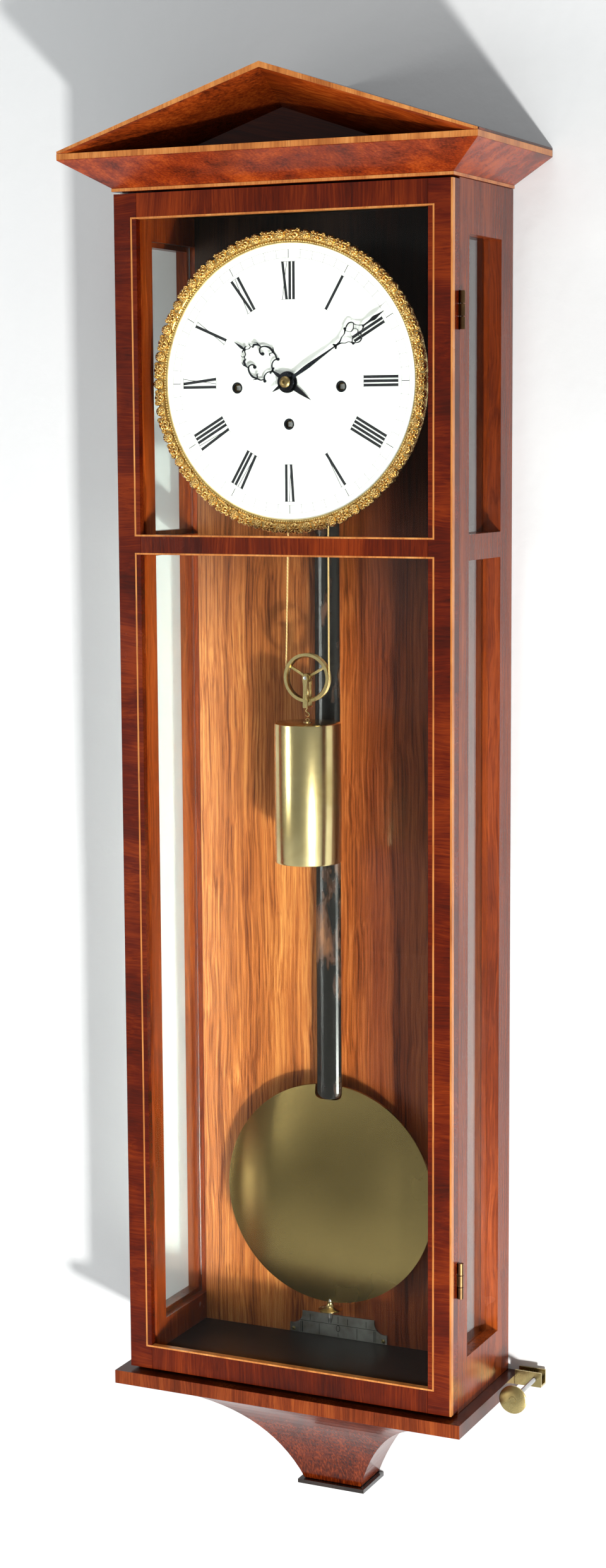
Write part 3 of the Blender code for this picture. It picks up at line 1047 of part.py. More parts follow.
def build_line(parent):
    """The line: over the drum, down to the pulley, under it and up to the post on the back plate."""
    over = [(DRUM_LINE * math.cos(t), GOING_Z + DRUM_LINE * math.sin(t))
            for t in (math.pi * k / 10 for k in range(1, 10))]
    steps = 8
    left = [(-DRUM_LINE + (DRUM_LINE - PULLEY_LINE) * k / steps,
             GOING_Z + (PULLEY_Z - GOING_Z) * k / steps) for k in range(steps + 1)]
    under = [(PULLEY_LINE * math.cos(t), PULLEY_Z + PULLEY_LINE * math.sin(t))
             for t in (math.pi + math.pi * k / 12 for k in range(1, 12))]
    post_foot = LINE_POST_Z - LINE_POST_RADIUS - GAP - LINE_RADIUS
    right = [(PULLEY_LINE, PULLEY_Z + (post_foot - PULLEY_Z) * k / steps) for k in range(steps + 1)]
    route = [(x, -WEIGHT_PLANE, z) for x, z in over + left + under + right]
    add_piece("weight_line", tube_mesh("weight_line", route, LINE_RADIUS), (0, 0, 0), "gut")
    line = bpy.data.objects["weight_line"]
    line.parent = parent
    line.location = -parent.location


# ---------------------------------------------------------------- case
def build_case():
    top_light = CASE_TOP - SIDE_TOP_RAIL
    upper_foot = top_light - SIDE_UPPER_LIGHT
    lower_top = upper_foot - SIDE_MIDDLE_RAIL
    lower_foot = CASE_FOOT + SIDE_BOTTOM_RAIL
    back, front = SIDE_BACK_STILE, CASE_DEPTH - SIDE_FRONT_STILE
    inside, outside = CASE_INSIDE, DOOR_HALF_WIDTH
    lights = (("upper", upper_foot, top_light), ("lower", lower_foot, lower_top))
    for side, word in ((-1, "left"), (1, "right")):
        near, far = sorted((side * inside, side * outside))
        frame = block("side_frame_" + word, (near, -CASE_DEPTH, CASE_FOOT + GAP), (far, 0, CASE_TOP - GAP),
                      "veneer")
        cutters = []
        for _, low, high in lights:
            cutters.append(helper_block((near - 0.01, -front, low), (far + 0.01, -back, high)))
            lip = outside - SIDE_LIP
            x1, x2 = sorted((side * (inside - 0.01), side * lip))
            cutters.append(helper_block((x1, -front - REBATE, low - REBATE),
                                        (x2, -back + REBATE, high + REBATE)))
        if side > 0:
            cutters += [leaf_recess(middle, CASE_DEPTH - LEAF_THICKNESS - 2 * GAP, CASE_DEPTH + 0.01)
                        for middle in hinge_heights()]
        cut(frame, cutters)
        pane = outside - SIDE_LIP - GAP
        x1, x2 = sorted((side * (pane - GLASS), side * pane))
        fit = REBATE - GAP
        for light, low, high in lights:
            block("side_glass_" + word + "_" + light, (x1, -front - fit, low - fit),
                  (x2, -back + fit, high + fit), "glass")
    board_half = CASE_INSIDE - GAP
    back_face = BACK_BOARD_FRONT - BACK_BOARD_THICKNESS
    block("back_board", (-board_half, -BACK_BOARD_FRONT, CASE_FOOT + GAP),
          (board_half, -back_face, CASE_TOP - GAP), "board")
    board_back, board_front = BACK_BOARD_FRONT + GAP, CASE_DEPTH
    block("top_board", (-board_half, -board_front, CASE_TOP - GAP - BOARD),
          (board_half, -board_back, CASE_TOP - GAP), "veneer")
    block("bottom_board", (-board_half, -board_front, CASE_FOOT + GAP),
          (board_half, -board_back, FLOOR_Z), "veneer")


def hinge_heights():
    return CASE_TOP - UPPER_HINGE_DROP, CASE_FOOT + LOWER_HINGE_RISE


def leaf_recess(middle, near, far):
    """Cutter for the pocket that a hinge leaf is let into, open towards the side and the seam."""
    half = HINGE_HEIGHT / 2 + GAP
    return helper_block((DOOR_HALF_WIDTH - LEAF_WIDTH - GAP, -far, middle - half),
                        (DOOR_HALF_WIDTH + 0.01, -near, middle + half))


def build_hinge(word, middle, door):
    """A butt hinge: the case leaf carries the outer knuckles and the pin, the door leaf the middle one."""
    third = HINGE_HEIGHT / 3
    low, high = middle - HINGE_HEIGHT / 2, middle + HINGE_HEIGHT / 2
    seam = HINGE_DEPTH
    leaf_inner = DOOR_HALF_WIDTH - LEAF_WIDTH
    neck = HINGE_X - HINGE_PIN_RADIUS
    case_near, case_far = CASE_DEPTH - LEAF_THICKNESS - GAP, CASE_DEPTH - GAP
    knuckle_place = (HINGE_X, -seam, 0)
    leaf = block("hinge_" + word + "_case_leaf", (leaf_inner, -case_far, low),
                 (DOOR_HALF_WIDTH - GAP, -case_near, high), "old_brass")
    tabs = [helper_block((DOOR_HALF_WIDTH - 2 * GAP, -case_far, start), (neck, -case_near, start + third - GAP))
            for start in (low, high - third + GAP)]
    barrels = [rod("helper", KNUCKLE_RADIUS, start, start + third - GAP, "brass", knuckle_place, "Z")
               for start in (low, high - third + GAP)]
    pin = rod("helper", HINGE_PIN_RADIUS, low + 0.001, high - 0.001, "brass", knuckle_place, "Z", HOLE_SIDES)
    combine(leaf, [*tabs, *barrels, pin])

    door_near, door_far = DOOR_BACK + GAP, DOOR_BACK + GAP + LEAF_THICKNESS
    leaf = block("hinge_" + word + "_door_leaf", (leaf_inner, -door_far, low),
                 (DOOR_HALF_WIDTH - GAP, -door_near, high), "old_brass", door)
    tab = helper_block((DOOR_HALF_WIDTH - 2 * GAP, -door_far, low + third + GAP),
                       (neck, -door_near, high - third - GAP))
    barrel = rod("helper", KNUCKLE_RADIUS, low + third + GAP, high - third - GAP, "brass", knuckle_place, "Z")
    bore = rod("helper", hole_for(HINGE_PIN_RADIUS), low, high, "brass", knuckle_place, "Z", HOLE_SIDES)
    combine(leaf, [tab, barrel])
    cut(leaf, [bore])


def build_door():
    door = joint_empty("door_axis", (HINGE_X, -HINGE_DEPTH, 0))
    back, front = -DOOR_BACK, -DOOR_FRONT
    lip = -(DOOR_FRONT - DOOR_LIP)
    outer, inner = DOOR_HALF_WIDTH, DOOR_LIGHT_HALF
    for side, word in ((-1, "left"), (1, "right")):
        section = [(side * outer, back), (side * outer, front), (side * inner, front), (side * inner, lip),
                   (side * (inner + REBATE), lip), (side * (inner + REBATE), back)]
        stile = prism("door_stile_" + word, section, DOOR_FOOT, DOOR_TOP, "Z", "veneer", door)
        if side > 0:
            cut(stile, [leaf_recess(middle, DOOR_BACK - 0.01, DOOR_BACK + LEAF_THICKNESS + 3 * GAP)
                        for middle in hinge_heights()])
    reach = inner - GAP
    top_rail = [(front, DOOR_UPPER_TOP), (front, DOOR_TOP), (back, DOOR_TOP), (back, DOOR_UPPER_TOP + REBATE),
                (lip, DOOR_UPPER_TOP + REBATE), (lip, DOOR_UPPER_TOP)]
    bottom_rail = [(front, DOOR_FOOT), (front, DOOR_LOWER_FOOT), (lip, DOOR_LOWER_FOOT),
                   (lip, DOOR_LOWER_FOOT - REBATE), (back, DOOR_LOWER_FOOT - REBATE), (back, DOOR_FOOT)]
    for word, section in (("top", top_rail), ("bottom", bottom_rail)):
        prism("door_rail_" + word, section, -reach, reach, "X", "veneer", door)
    middle_rail = block("door_rail_middle", (-reach, front, DOOR_LOWER_TOP),
                        (reach, lip, DOOR_UPPER_FOOT), "veneer", door)
    combine(middle_rail, [helper_block((-reach + GAP, lip - DOOR_LIP / 2, DOOR_LOWER_TOP + REBATE),
                                       (reach - GAP, back, DOOR_UPPER_FOOT - REBATE))])
    fit = REBATE - GAP
    for word, low, high in (("upper", DOOR_UPPER_FOOT, DOOR_UPPER_TOP), ("lower", DOOR_LOWER_FOOT, DOOR_LOWER_TOP)):
        block("door_glass_" + word, (-inner - fit, -DOOR_GLASS_FRONT, low - fit),
              (inner + fit, -(DOOR_GLASS_FRONT - GLASS), high + fit), "glass", door)
    for word, middle in zip(("upper", "lower"), hinge_heights()):
        build_hinge(word, middle, door)


# ---------------------------------------------------------------- crown, plinth and pendant
def frustum(name, near_wall, away, look):
    """Joins two flat outlines of equal length, each given as (distance from the wall, [(x, z), ...])."""
    return loft(name, [[(x, -distance, z) for x, z in outline] for distance, outline in (near_wall, away)], look)


def build_crown():
    foot_half = DOOR_HALF_WIDTH + CORNICE_FOOT_OVERHANG
    foot_front = DOOR_FRONT + CORNICE_FOOT_OVERHANG
    top_half, top_front = DOOR_HALF_WIDTH + CORNICE_OVERHANG, DOOR_FRONT + CORNICE_OVERHANG
    levels = [(CASE_TOP, foot_half, foot_front), (CASE_TOP + CORNICE_FOOT_BAND, foot_half, foot_front),
              (CASE_TOP + CORNICE_HEIGHT - CORNICE_TOP_BAND, top_half, top_front),
              (CASE_TOP + CORNICE_HEIGHT, top_half, top_front)]
    stack("cornice", levels, "veneer")

    base = CASE_TOP + CORNICE_HEIGHT + GAP
    eaves, apex = base + PEDIMENT_EDGE, base + PEDIMENT_HEIGHT
    outline = [(-top_half, base), (top_half, base), (top_half, eaves), (0, apex), (-top_half, eaves)]
    pediment = frustum("pediment", (0, outline), (top_front, outline), "veneer")
    slope = (apex - eaves) / top_half
    drop = PEDIMENT_STRINGING * math.sqrt(1 + slope ** 2)
    mouth_apex = apex - drop
    mouth_half = (mouth_apex - base) / slope
    below = base - 0.01

    def triangle(half, top, distance):
        """A triangle carried down past the base so that the cut is open below."""
        reach = half * (top - below) / (top - base)
        return distance, [(-reach, below), (reach, below), (0, top)]

    recess_back = top_front - PEDIMENT_RECESS
    lean = 0.001 / PEDIMENT_RECESS
    mouth = (top_front + 0.001, [(x + lean * (x - y), z + lean * (z - w)) for (x, z), (y, w) in
                                 zip(triangle(mouth_half, mouth_apex, 0)[1],
                                     triangle(TYMPANUM_HALF_WIDTH, base + TYMPANUM_HEIGHT, 0)[1])])
    recess = frustum("helper", triangle(TYMPANUM_HALF_WIDTH, base + TYMPANUM_HEIGHT, recess_back), mouth, "veneer")
    loft_top = apex - ROOF_BOARD * math.sqrt(1 + slope ** 2)
    loft_half = (loft_top - base) / slope
    loft_front = recess_back - ROOF_BOARD
    loft = frustum("helper", triangle(loft_half, loft_top, ROOF_BOARD), triangle(loft_half, loft_top, loft_front),
                   "veneer")
    cut(pediment, [recess, loft])


def stack(name, levels, look):
    """A body of rectangles one above another, all with their back edge on the wall."""
    return loft(name, [((-half, 0, z), (half, 0, z), (half, -front, z), (-half, -front, z))
                       for z, half, front in levels], look)


def build_foot():
    half, front = DOOR_HALF_WIDTH + PLINTH_OVERHANG, DOOR_FRONT + PLINTH_FRONT_OVERHANG
    low = CASE_FOOT - PLINTH_THICKNESS
    block("plinth_board", (-half, -front, low), (half, 0, CASE_FOOT), "veneer")

    top = low - GAP
    top_half, top_front = half - PENDANT_TOP_INSET, front - PENDANT_TOP_FRONT_INSET
    levels = []
    steps = 18
    for k in range(steps + 1):
        t = k / steps
        across = (1 - t) ** 2 + 2 * t * (1 - t) * PENDANT_BEND_ACROSS
        down = t ** 2 + 2 * t * (1 - t) * PENDANT_BEND_DOWN
        levels.append((top - PENDANT_HEIGHT * down,
                       PENDANT_FOOT_HALF_WIDTH + (top_half - PENDANT_FOOT_HALF_WIDTH) * across,
                       PENDANT_FOOT_DEPTH + (top_front - PENDANT_FOOT_DEPTH) * across))
    pendant = stack("pendant", levels[::-1], "veneer")
    pendant.data.shade_smooth()
    pendant.data.set_sharp_from_angle(angle=math.radians(40))

    cap_top = top - PENDANT_HEIGHT - GAP
    block("pendant_cap", (-PENDANT_FOOT_HALF_WIDTH - CAP_OVERHANG, -PENDANT_FOOT_DEPTH - CAP_OVERHANG,
                          cap_top - CAP_THICKNESS),
          (PENDANT_FOOT_HALF_WIDTH + CAP_OVERHANG, 0, cap_top), "ebonised")


# ---------------------------------------------------------------- fittings
def build_fittings():
    keyhole = circle(KEYHOLE_RADIUS, SMALL_SIDES, (0, -KEYHOLE_DROP - KEYHOLE_SLOT))
    hanger = flat("wall_hanger", [[(-HANGER_HALF_WIDTH, -HANGER_BELOW), (HANGER_HALF_WIDTH, -HANGER_BELOW),
                                   (HANGER_HALF_WIDTH, HANGER_ABOVE), (-HANGER_HALF_WIDTH, HANGER_ABOVE)],
                                  keyhole], 0, HANGER_THICKNESS, "steel")
    slot = helper_block((-KEYHOLE_SLOT_HALF, -0.01, -KEYHOLE_DROP - KEYHOLE_SLOT),
                        (KEYHOLE_SLOT_HALF, 0.01, -KEYHOLE_DROP + KEYHOLE_SLOT))
    cut(hanger, [slot])

    half, low = SCALE_HALF_WIDTH, FLOOR_Z + GAP
    top, hollow, step = low + SCALE_HEIGHT, SCALE_HOLLOW, SCALE_STEP
    arc = [(half - step - hollow + hollow * (1 - math.sin(t)), top - step - hollow * math.cos(t))
           for t in (math.pi / 2 * k / 6 for k in range(7))]
    right = [(half, low), (half, top - step - hollow), *arc, (half - step - hollow, top)]
    outline = right + [(-x, z) for x, z in reversed(right)]
    near = BACK_BOARD_FRONT + GAP
    flat("beat_scale", [outline], near, near + SCALE_THICKNESS, "silvered")

    build_leveller()


def build_leveller():
    """A channel bracket behind the plinth's right end, and the screw that bears on the wall."""
    inner = DOOR_HALF_WIDTH + PLINTH_OVERHANG + GAP
    outer = DOOR_HALF_WIDTH + LEVELLER_REACH
    top = CASE_FOOT + LEVELLER_RISE
    low = top - LEVELLER_HEIGHT
    screw_x, screw_z = outer - LEVELLER_SCREW_INSET, CASE_FOOT - LEVELLER_SCREW_DROP
    near, sheet = LEVELLER_WALL_GAP, LEVELLER_SHEET
    bracket = block("levelling_bracket", (inner, -LEVELLER_ARM, low), (outer, -near, top), "old_brass")
    channel = helper_block((inner - 0.01, sheet - LEVELLER_ARM, low + sheet),
                           (outer + 0.01, -near - sheet, top + 0.01))
    bore = rod("helper", hole_for(LEVELLER_SCREW_RADIUS), -0.01, 0.05, "brass", (screw_x, 0, screw_z), "Y",
               HOLE_SIDES)
    cut(bracket, [channel, bore])
    axis = joint_empty("levelling_screw_axis", (screw_x, -LEVELLER_KNOB_FRONT, screw_z))
    radius, knob, face = LEVELLER_SCREW_RADIUS, LEVELLER_KNOB_RADIUS, LEVELLER_KNOB_FRONT
    boss, back = LEVELLER_BOSS_RADIUS, face - LEVELLER_DISC
    turned("levelling_screw", [(0, GAP), (radius * 0.6, GAP), (radius, LEVELLER_TIP),
                               (radius, back - LEVELLER_BOSS), (boss, back - LEVELLER_BOSS), (boss, back),
                               (knob, back), (knob, face - 0.0006), (knob - 0.0008, face), (0, face)],
           ROUND_SIDES, "old_brass", (screw_x, 0, screw_z), "Y", axis)


def build_clock():
    clear_scene()
    build_case()
    build_door()
    build_crown()
    build_foot()
    build_movement()
    build_dial()
    build_going_train()
    build_motion_work()
    build_anchor()
    build_strike()
    build_pendulum()
    build_weight()
    build_fittings()


build_clock()
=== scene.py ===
import bmesh
import bpy
import math
from mathutils import Matrix, Vector


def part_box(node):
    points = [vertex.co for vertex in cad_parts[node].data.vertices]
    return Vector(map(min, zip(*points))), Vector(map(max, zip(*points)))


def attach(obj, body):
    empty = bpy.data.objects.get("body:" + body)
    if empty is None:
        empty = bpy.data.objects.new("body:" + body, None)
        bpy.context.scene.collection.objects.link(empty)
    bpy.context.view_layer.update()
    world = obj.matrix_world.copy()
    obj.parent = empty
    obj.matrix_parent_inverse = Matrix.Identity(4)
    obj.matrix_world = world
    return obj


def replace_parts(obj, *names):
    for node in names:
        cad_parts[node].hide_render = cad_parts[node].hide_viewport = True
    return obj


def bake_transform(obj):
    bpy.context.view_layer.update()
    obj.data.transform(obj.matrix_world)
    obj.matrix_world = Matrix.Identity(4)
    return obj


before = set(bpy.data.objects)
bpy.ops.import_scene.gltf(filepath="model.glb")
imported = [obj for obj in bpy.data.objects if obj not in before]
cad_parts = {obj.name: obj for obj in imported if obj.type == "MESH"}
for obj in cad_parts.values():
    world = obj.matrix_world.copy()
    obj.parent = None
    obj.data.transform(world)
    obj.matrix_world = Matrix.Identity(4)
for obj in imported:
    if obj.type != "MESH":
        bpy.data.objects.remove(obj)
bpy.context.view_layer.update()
scene = bpy.context.scene

# ---------------------------------------------------------------- camera, lamps and the wall
# The clock is looked at from its right-hand front, a little above the pendulum's pivot.
# It hangs on a plain pale wall over a plain pale floor, under large soft lamps.
camera_data = bpy.data.cameras.new("camera")
camera_data.lens = 60.15
camera = bpy.data.objects.new("camera", camera_data)
scene.collection.objects.link(camera)
turn = Matrix.Rotation(math.radians(25.062), 4, "Z") @ Matrix.Rotation(math.radians(82.526), 4, "X")
camera.matrix_world = (Matrix.Translation((0.79767, -1.78673, -0.1412)) @ turn
                       @ Matrix.Rotation(math.radians(-0.349), 4, "Z"))
scene.camera = camera
scene.view_settings.view_transform = "Standard"


def lamp(name, place, aim, width, height, power, colour=(1, 1, 1)):
    """A soft rectangular lamp at place, turned to shine on aim."""
    light = bpy.data.lights.new(name, "AREA")
    light.shape = "RECTANGLE"
    light.size, light.size_y = width, height
    light.energy, light.color = power, colour
    holder = bpy.data.objects.new(name, light)
    holder.location = place
    holder.rotation_euler = (Vector(aim) - Vector(place)).to_track_quat("-Z", "Y").to_euler()
    scene.collection.objects.link(holder)


lamp("key", (1.15, -1.55, -1.25), (0, 0, -0.35), 0.12, 0.12, 52, (1.0, 0.985, 0.96))
lamp("left_lamp", (-1.9, -1.8, -0.55), (0, 0, -0.3), 0.5, 1.1, 18, (1.0, 0.99, 0.97))
lamp("overhead", (0.1, -1.3, 1.9), (0, 0, -0.2), 1.4, 1.0, 10)

world = bpy.data.worlds.new("room")
world.use_nodes = True
world.node_tree.nodes["Background"].inputs["Color"].default_value = (0.93, 0.95, 0.96, 1)
world.node_tree.nodes["Background"].inputs["Strength"].default_value = 0.34
scene.world = world


def new_material(name):
    """A node material. Returns it and its Object coordinates."""
    material = bpy.data.materials.new(name)
    material.use_nodes = True
    return material, material.node_tree.nodes.new("ShaderNodeTexCoord").outputs["Object"]


def node_in(tree, kind, inputs=None, **settings):
    """Adds a node, sets its properties and its inputs; an input may be a value or another node's output."""
    made = tree.nodes.new(kind)
    for key, value in settings.items():
        setattr(made, key, value)
    for key, value in (inputs or {}).items():
        if isinstance(value, bpy.types.NodeSocket):
            tree.links.new(value, made.inputs[key])
        else:
            made.inputs[key].default_value = value
    return made


def node_of(material, kind, inputs=None, **settings):
    return node_in(material.node_tree, kind, inputs, **settings)


def shader_of(material):
    return material.node_tree.nodes["Principled BSDF"]


def dress(material, **values):
    """Gives the shader's inputs values or outputs; a name's _ stands for a space."""
    for key, value in values.items():
        socket = shader_of(material).inputs[key.replace("_", " ")]
        if isinstance(value, bpy.types.NodeSocket):
            material.node_tree.links.new(value, socket)
        else:
            socket.default_value = value


def ramp_of(material, factor, stops):
    """A colour ramp from (position, colour) stops. Returns its colour output."""
    made = node_of(material, "ShaderNodeValToRGB", {"Fac": factor})
    band = made.color_ramp
    while len(band.elements) < len(stops):
        band.elements.new(0.5)
    for element, (position, colour) in zip(band.elements, stops):
        element.position = position
        element.color = (*colour, 1)
    return made.outputs["Color"]


def blend_of(material, factor, one, two, how="MIX"):
    """Mixes two colours; factor, one and two are values or outputs."""
    made = node_of(material, "ShaderNodeMix", {0: factor, 6: one, 7: two}, data_type="RGBA", blend_type=how)
    return made.outputs[2]


def noise_of(material, where, scale, detail=3.0, stretch=None, rough=0.5, warp=0.0):
    """Noise over coordinates, which stretch multiplies axis by axis. Returns its value output."""
    if stretch:
        where = node_of(material, "ShaderNodeMapping", {"Vector": where, "Scale": stretch}).outputs["Vector"]
    made = node_of(material, "ShaderNodeTexNoise", {"Vector": where, "Scale": scale, "Detail": detail,
                                                    "Roughness": rough, "Distortion": warp})
    return made.outputs["Fac"]


def range_of(material, value, low, high, start=0.0, end=1.0):
    """Maps start to low and end to high. Returns its output."""
    made = node_of(material, "ShaderNodeMapRange", {"Value": value, "From Min": start, "From Max": end,
                                                    "To Min": low, "To Max": high})
    return made.outputs["Result"]


def bump_of(material, height, distance, strength=0.5):
    made = node_of(material, "ShaderNodeBump", {"Height": height, "Distance": distance, "Strength": strength})
    dress(material, Normal=made.outputs["Normal"])


def see_through(material, share, colour=(1, 1, 1, 1)):
    """Lets light straight through a surface where share is 1."""
    clear = node_of(material, "ShaderNodeBsdfTransparent", {"Color": colour})
    mixed = node_of(material, "ShaderNodeMixShader", {0: share, 1: shader_of(material).outputs["BSDF"],
                                                      2: clear.outputs["BSDF"]})
    surface = material.node_tree.nodes["Material Output"].inputs["Surface"]
    material.node_tree.links.new(mixed.outputs["Shader"], surface)


def finish_nodes(material, *names):
    """Gives CAD nodes a material in their own slots."""
    for name in names:
        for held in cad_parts[name].material_slots:
            held.material = material


def mesh_from(name, shape):
    """Turns a bmesh into a mesh and frees it."""
    mesh = bpy.data.meshes.new(name)
    shape.to_mesh(mesh)
    shape.free()
    return mesh


def show(name, mesh):
    made = bpy.data.objects.new(name, mesh)
    scene.collection.objects.link(made)
    return made


def piece_from(name, shape, material, body):
    """A finished piece from a bmesh whose corners are already in place, riding on a body if one is named."""
    bmesh.ops.recalc_face_normals(shape, faces=shape.faces)
    mesh = mesh_from(name, shape)
    mesh.materials.append(material)
    mesh.set_sharp_from_angle(angle=math.radians(38))
    made = show(name, mesh)
    if body:
        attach(made, body)
    return made


plaster, spot = new_material("wall_plaster")
dress(plaster, Roughness=0.9, Base_Color=ramp_of(plaster, noise_of(plaster, spot, 3.0, 4.0),
                                                 [(0.3, (0.72, 0.74, 0.75)), (0.7, (0.78, 0.79, 0.80))]))
bump_of(plaster, noise_of(plaster, spot, 90.0, 5.0), 0.002, 0.2)
see_through(plaster, node_of(plaster, "ShaderNodeNewGeometry").outputs["Backfacing"])

WALL_HALF, WALL_TOP, WALL_Y = 4.0, 2.4, 0.001
FLOOR, FLOOR_FRONT, COVE, COVE_STEPS = -1.55, -5.0, 0.35, 8
bends = [math.pi / 2 * k / COVE_STEPS for k in range(1, COVE_STEPS + 1)]
profile = [(WALL_Y, WALL_TOP), (WALL_Y, FLOOR + COVE),
           *((WALL_Y - COVE * (1 - math.cos(bend)), FLOOR + COVE * (1 - math.sin(bend))) for bend in bends),
           (FLOOR_FRONT, FLOOR)]
sheet = bmesh.new()
rows = [[sheet.verts.new((side * WALL_HALF, y, z)) for side in (-1, 1)] for y, z in profile]
for one, two in zip(rows, rows[1:]):
    sheet.faces.new((one[0], two[0], two[1], one[1])).smooth = True
wall = show("wall_and_floor", mesh_from("wall_and_floor", sheet))
wall.data.materials.append(plaster)

# ---------------------------------------------------------------- veneered case
# The case is softwood covered in mahogany veneer and French polished. The stiles carry
# the grain across their width, the rails and the plinth carry it upright.


def veneer(name, dark, middle, light, grain, lean=0.0, figure=0.5, gloss=0.22, coat=0.05, seed=0.0,
           shares=(0.50, 0.25, 0.25), cells=(30, 9)):
    """Polished figured veneer. grain is the axis the fibres follow, lean turns it in the front plane.

    shares weigh the broad bands, the fine streaks and the cross figure; cells are the figure's repeats a metre."""
    material, where = new_material(name)
    moved = node_of(material, "ShaderNodeMapping", {"Vector": where, "Location": (seed, seed * 0.7, seed * 1.3),
                                                    "Rotation": (0, math.radians(lean), 0)}).outputs["Vector"]

    def along(length, width):
        return tuple(length if axis == grain else width for axis in "XYZ")

    spread = node_of(material, "ShaderNodeMapping", {"Vector": moved, "Scale": along(9, 22)}).outputs["Vector"]
    wander = node_of(material, "ShaderNodeTexNoise", {"Vector": spread, "Scale": 1.0, "Detail": 2.0})
    drift = node_of(material, "ShaderNodeVectorMath", {0: wander.outputs["Color"], "Scale": 0.030 * figure},
                    operation="SCALE")
    flow = node_of(material, "ShaderNodeVectorMath", {0: moved, 1: drift.outputs["Vector"]},
                   operation="ADD").outputs["Vector"]
    mixed = 0.0
    for share, stretch, detail in zip(shares, (along(2.5, 75), along(8, 700), along(*cells)), (4.0, 5.0, 3.0)):
        layer = noise_of(material, flow, 1.0, detail, stretch, 0.55)
        mixed = node_of(material, "ShaderNodeMath", {0: layer, 1: share, 2: mixed},
                        operation="MULTIPLY_ADD").outputs[0]
    colour = ramp_of(material, mixed, [(0.38, dark), (0.50, middle), (0.63, light)])
    pores = noise_of(material, flow, 1.0, 2.0, along(70, 1500), 0.6)
    flecks = ramp_of(material, pores, [(0.34, (0.50, 0.44, 0.42)), (0.46, (1, 1, 1))])
    dress(material, Base_Color=blend_of(material, 0.5, colour, flecks, "MULTIPLY"), Specular_IOR_Level=0.22,
          Roughness=range_of(material, noise_of(material, moved, 22.0, 4.0), gloss - 0.06, gloss + 0.10),
          Coat_Weight=coat, Coat_Roughness=0.08)
    bump_of(material, pores, 0.0003, 0.2)
    return material


def tint_along(material, axis, stops):
    """Multiplies a material's colour by a ramp along one axis; stops are (place in metres, colour)."""
    where = material.node_tree.nodes["Texture Coordinate"].outputs["Object"]
    place = node_of(material, "ShaderNodeSeparateXYZ", {"Vector": where}).outputs[axis]
    low, high = stops[0][0], stops[-1][0]
    tint = ramp_of(material, range_of(material, place, 0.0, 1.0, low, high),
                   [((at - low) / (high - low), colour) for at, colour in stops])
    was = shader_of(material).inputs["Base Color"].links[0].from_socket
    dress(material, Base_Color=blend_of(material, 1.0, was, tint, "MULTIPLY"))


stile_veneer = veneer("mahogany_crossbanded", (0.040, 0.004, 0.001), (0.088, 0.007, 0.001),
                      (0.180, 0.022, 0.002), "X", figure=0.8, shares=(0.20, 0.30, 0.50), cells=(16, 24))
rail_veneer = veneer("mahogany_rail", (0.040, 0.004, 0.001), (0.095, 0.009, 0.001), (0.210, 0.028, 0.003), "Z",
                     seed=3.0, shares=(0.22, 0.30, 0.48), cells=(8, 12))
# The side frames get a lighter copy of the mahogany: painted light for the light that falls on the case's side.
side_veneer = veneer("mahogany_side", (0.075, 0.010, 0.002), (0.150, 0.022, 0.003), (0.280, 0.052, 0.007), "Z",
                     seed=5.0, shares=(0.30, 0.40, 0.30), cells=(4, 18))
plinth_veneer = veneer("mahogany_plinth", (0.065, 0.010, 0.002), (0.160, 0.026, 0.005), (0.300, 0.066, 0.011), "Z",
                       seed=8.0, shares=(0.26, 0.34, 0.40), cells=(8, 16))
tint_along(plinth_veneer, "Y", [(-0.1238, (1, 1, 1)), (-0.1228, (0.45, 0.42, 0.40))])
finish_nodes(side_veneer, "side_frame_left", "side_frame_right")
finish_nodes(stile_veneer, "door_stile_left", "door_stile_right")
finish_nodes(rail_veneer, "door_rail_top", "door_rail_middle", "door_rail_bottom")
finish_nodes(plinth_veneer, "plinth_board")

# ---------------------------------------------------------------- back board and inside boards
# The back is a wide board in wavy walnut, seen through the glass behind the pendulum.
# It is redder and darker to the right, its own redder tone with painted shadow of the right door stile over it,
# and painted shade makes it nearly black behind the movement; the boards inside are stained dark.
back_veneer = veneer("walnut_back", (0.120, 0.026, 0.006), (0.370, 0.115, 0.026), (0.600, 0.250, 0.070), "Z",
                     figure=0.35, gloss=0.30, coat=0.12, seed=11.0, shares=(0.30, 0.52, 0.18), cells=(2, 12))
# Painted shadow of the right door stile: the board darkens to the right, over its own slightly redder tone there.
tint_along(back_veneer, "X", [(-0.114, (1.0, 1.0, 1.0)), (-0.020, (0.98, 0.94, 0.90)), (0.006, (0.80, 0.64, 0.56)),
                              (0.030, (0.34, 0.20, 0.18)), (0.114, (0.22, 0.14, 0.14))])
# Painted shade behind the movement and the dial: the board goes nearly black towards the top.
tint_along(back_veneer, "Z", [(-0.80, (1, 1, 1)), (-0.30, (0.92, 0.90, 0.88)), (-0.22, (0.40, 0.36, 0.36)),
                              (-0.10, (0.07, 0.075, 0.09))])
dark_board = veneer("stained_board", (0.004, 0.002, 0.0015), (0.007, 0.004, 0.003), (0.015, 0.008, 0.006), "X",
                    gloss=0.35, coat=0.1, seed=2.0)
finish_nodes(back_veneer, "back_board")
finish_nodes(dark_board, "top_board", "bottom_board")

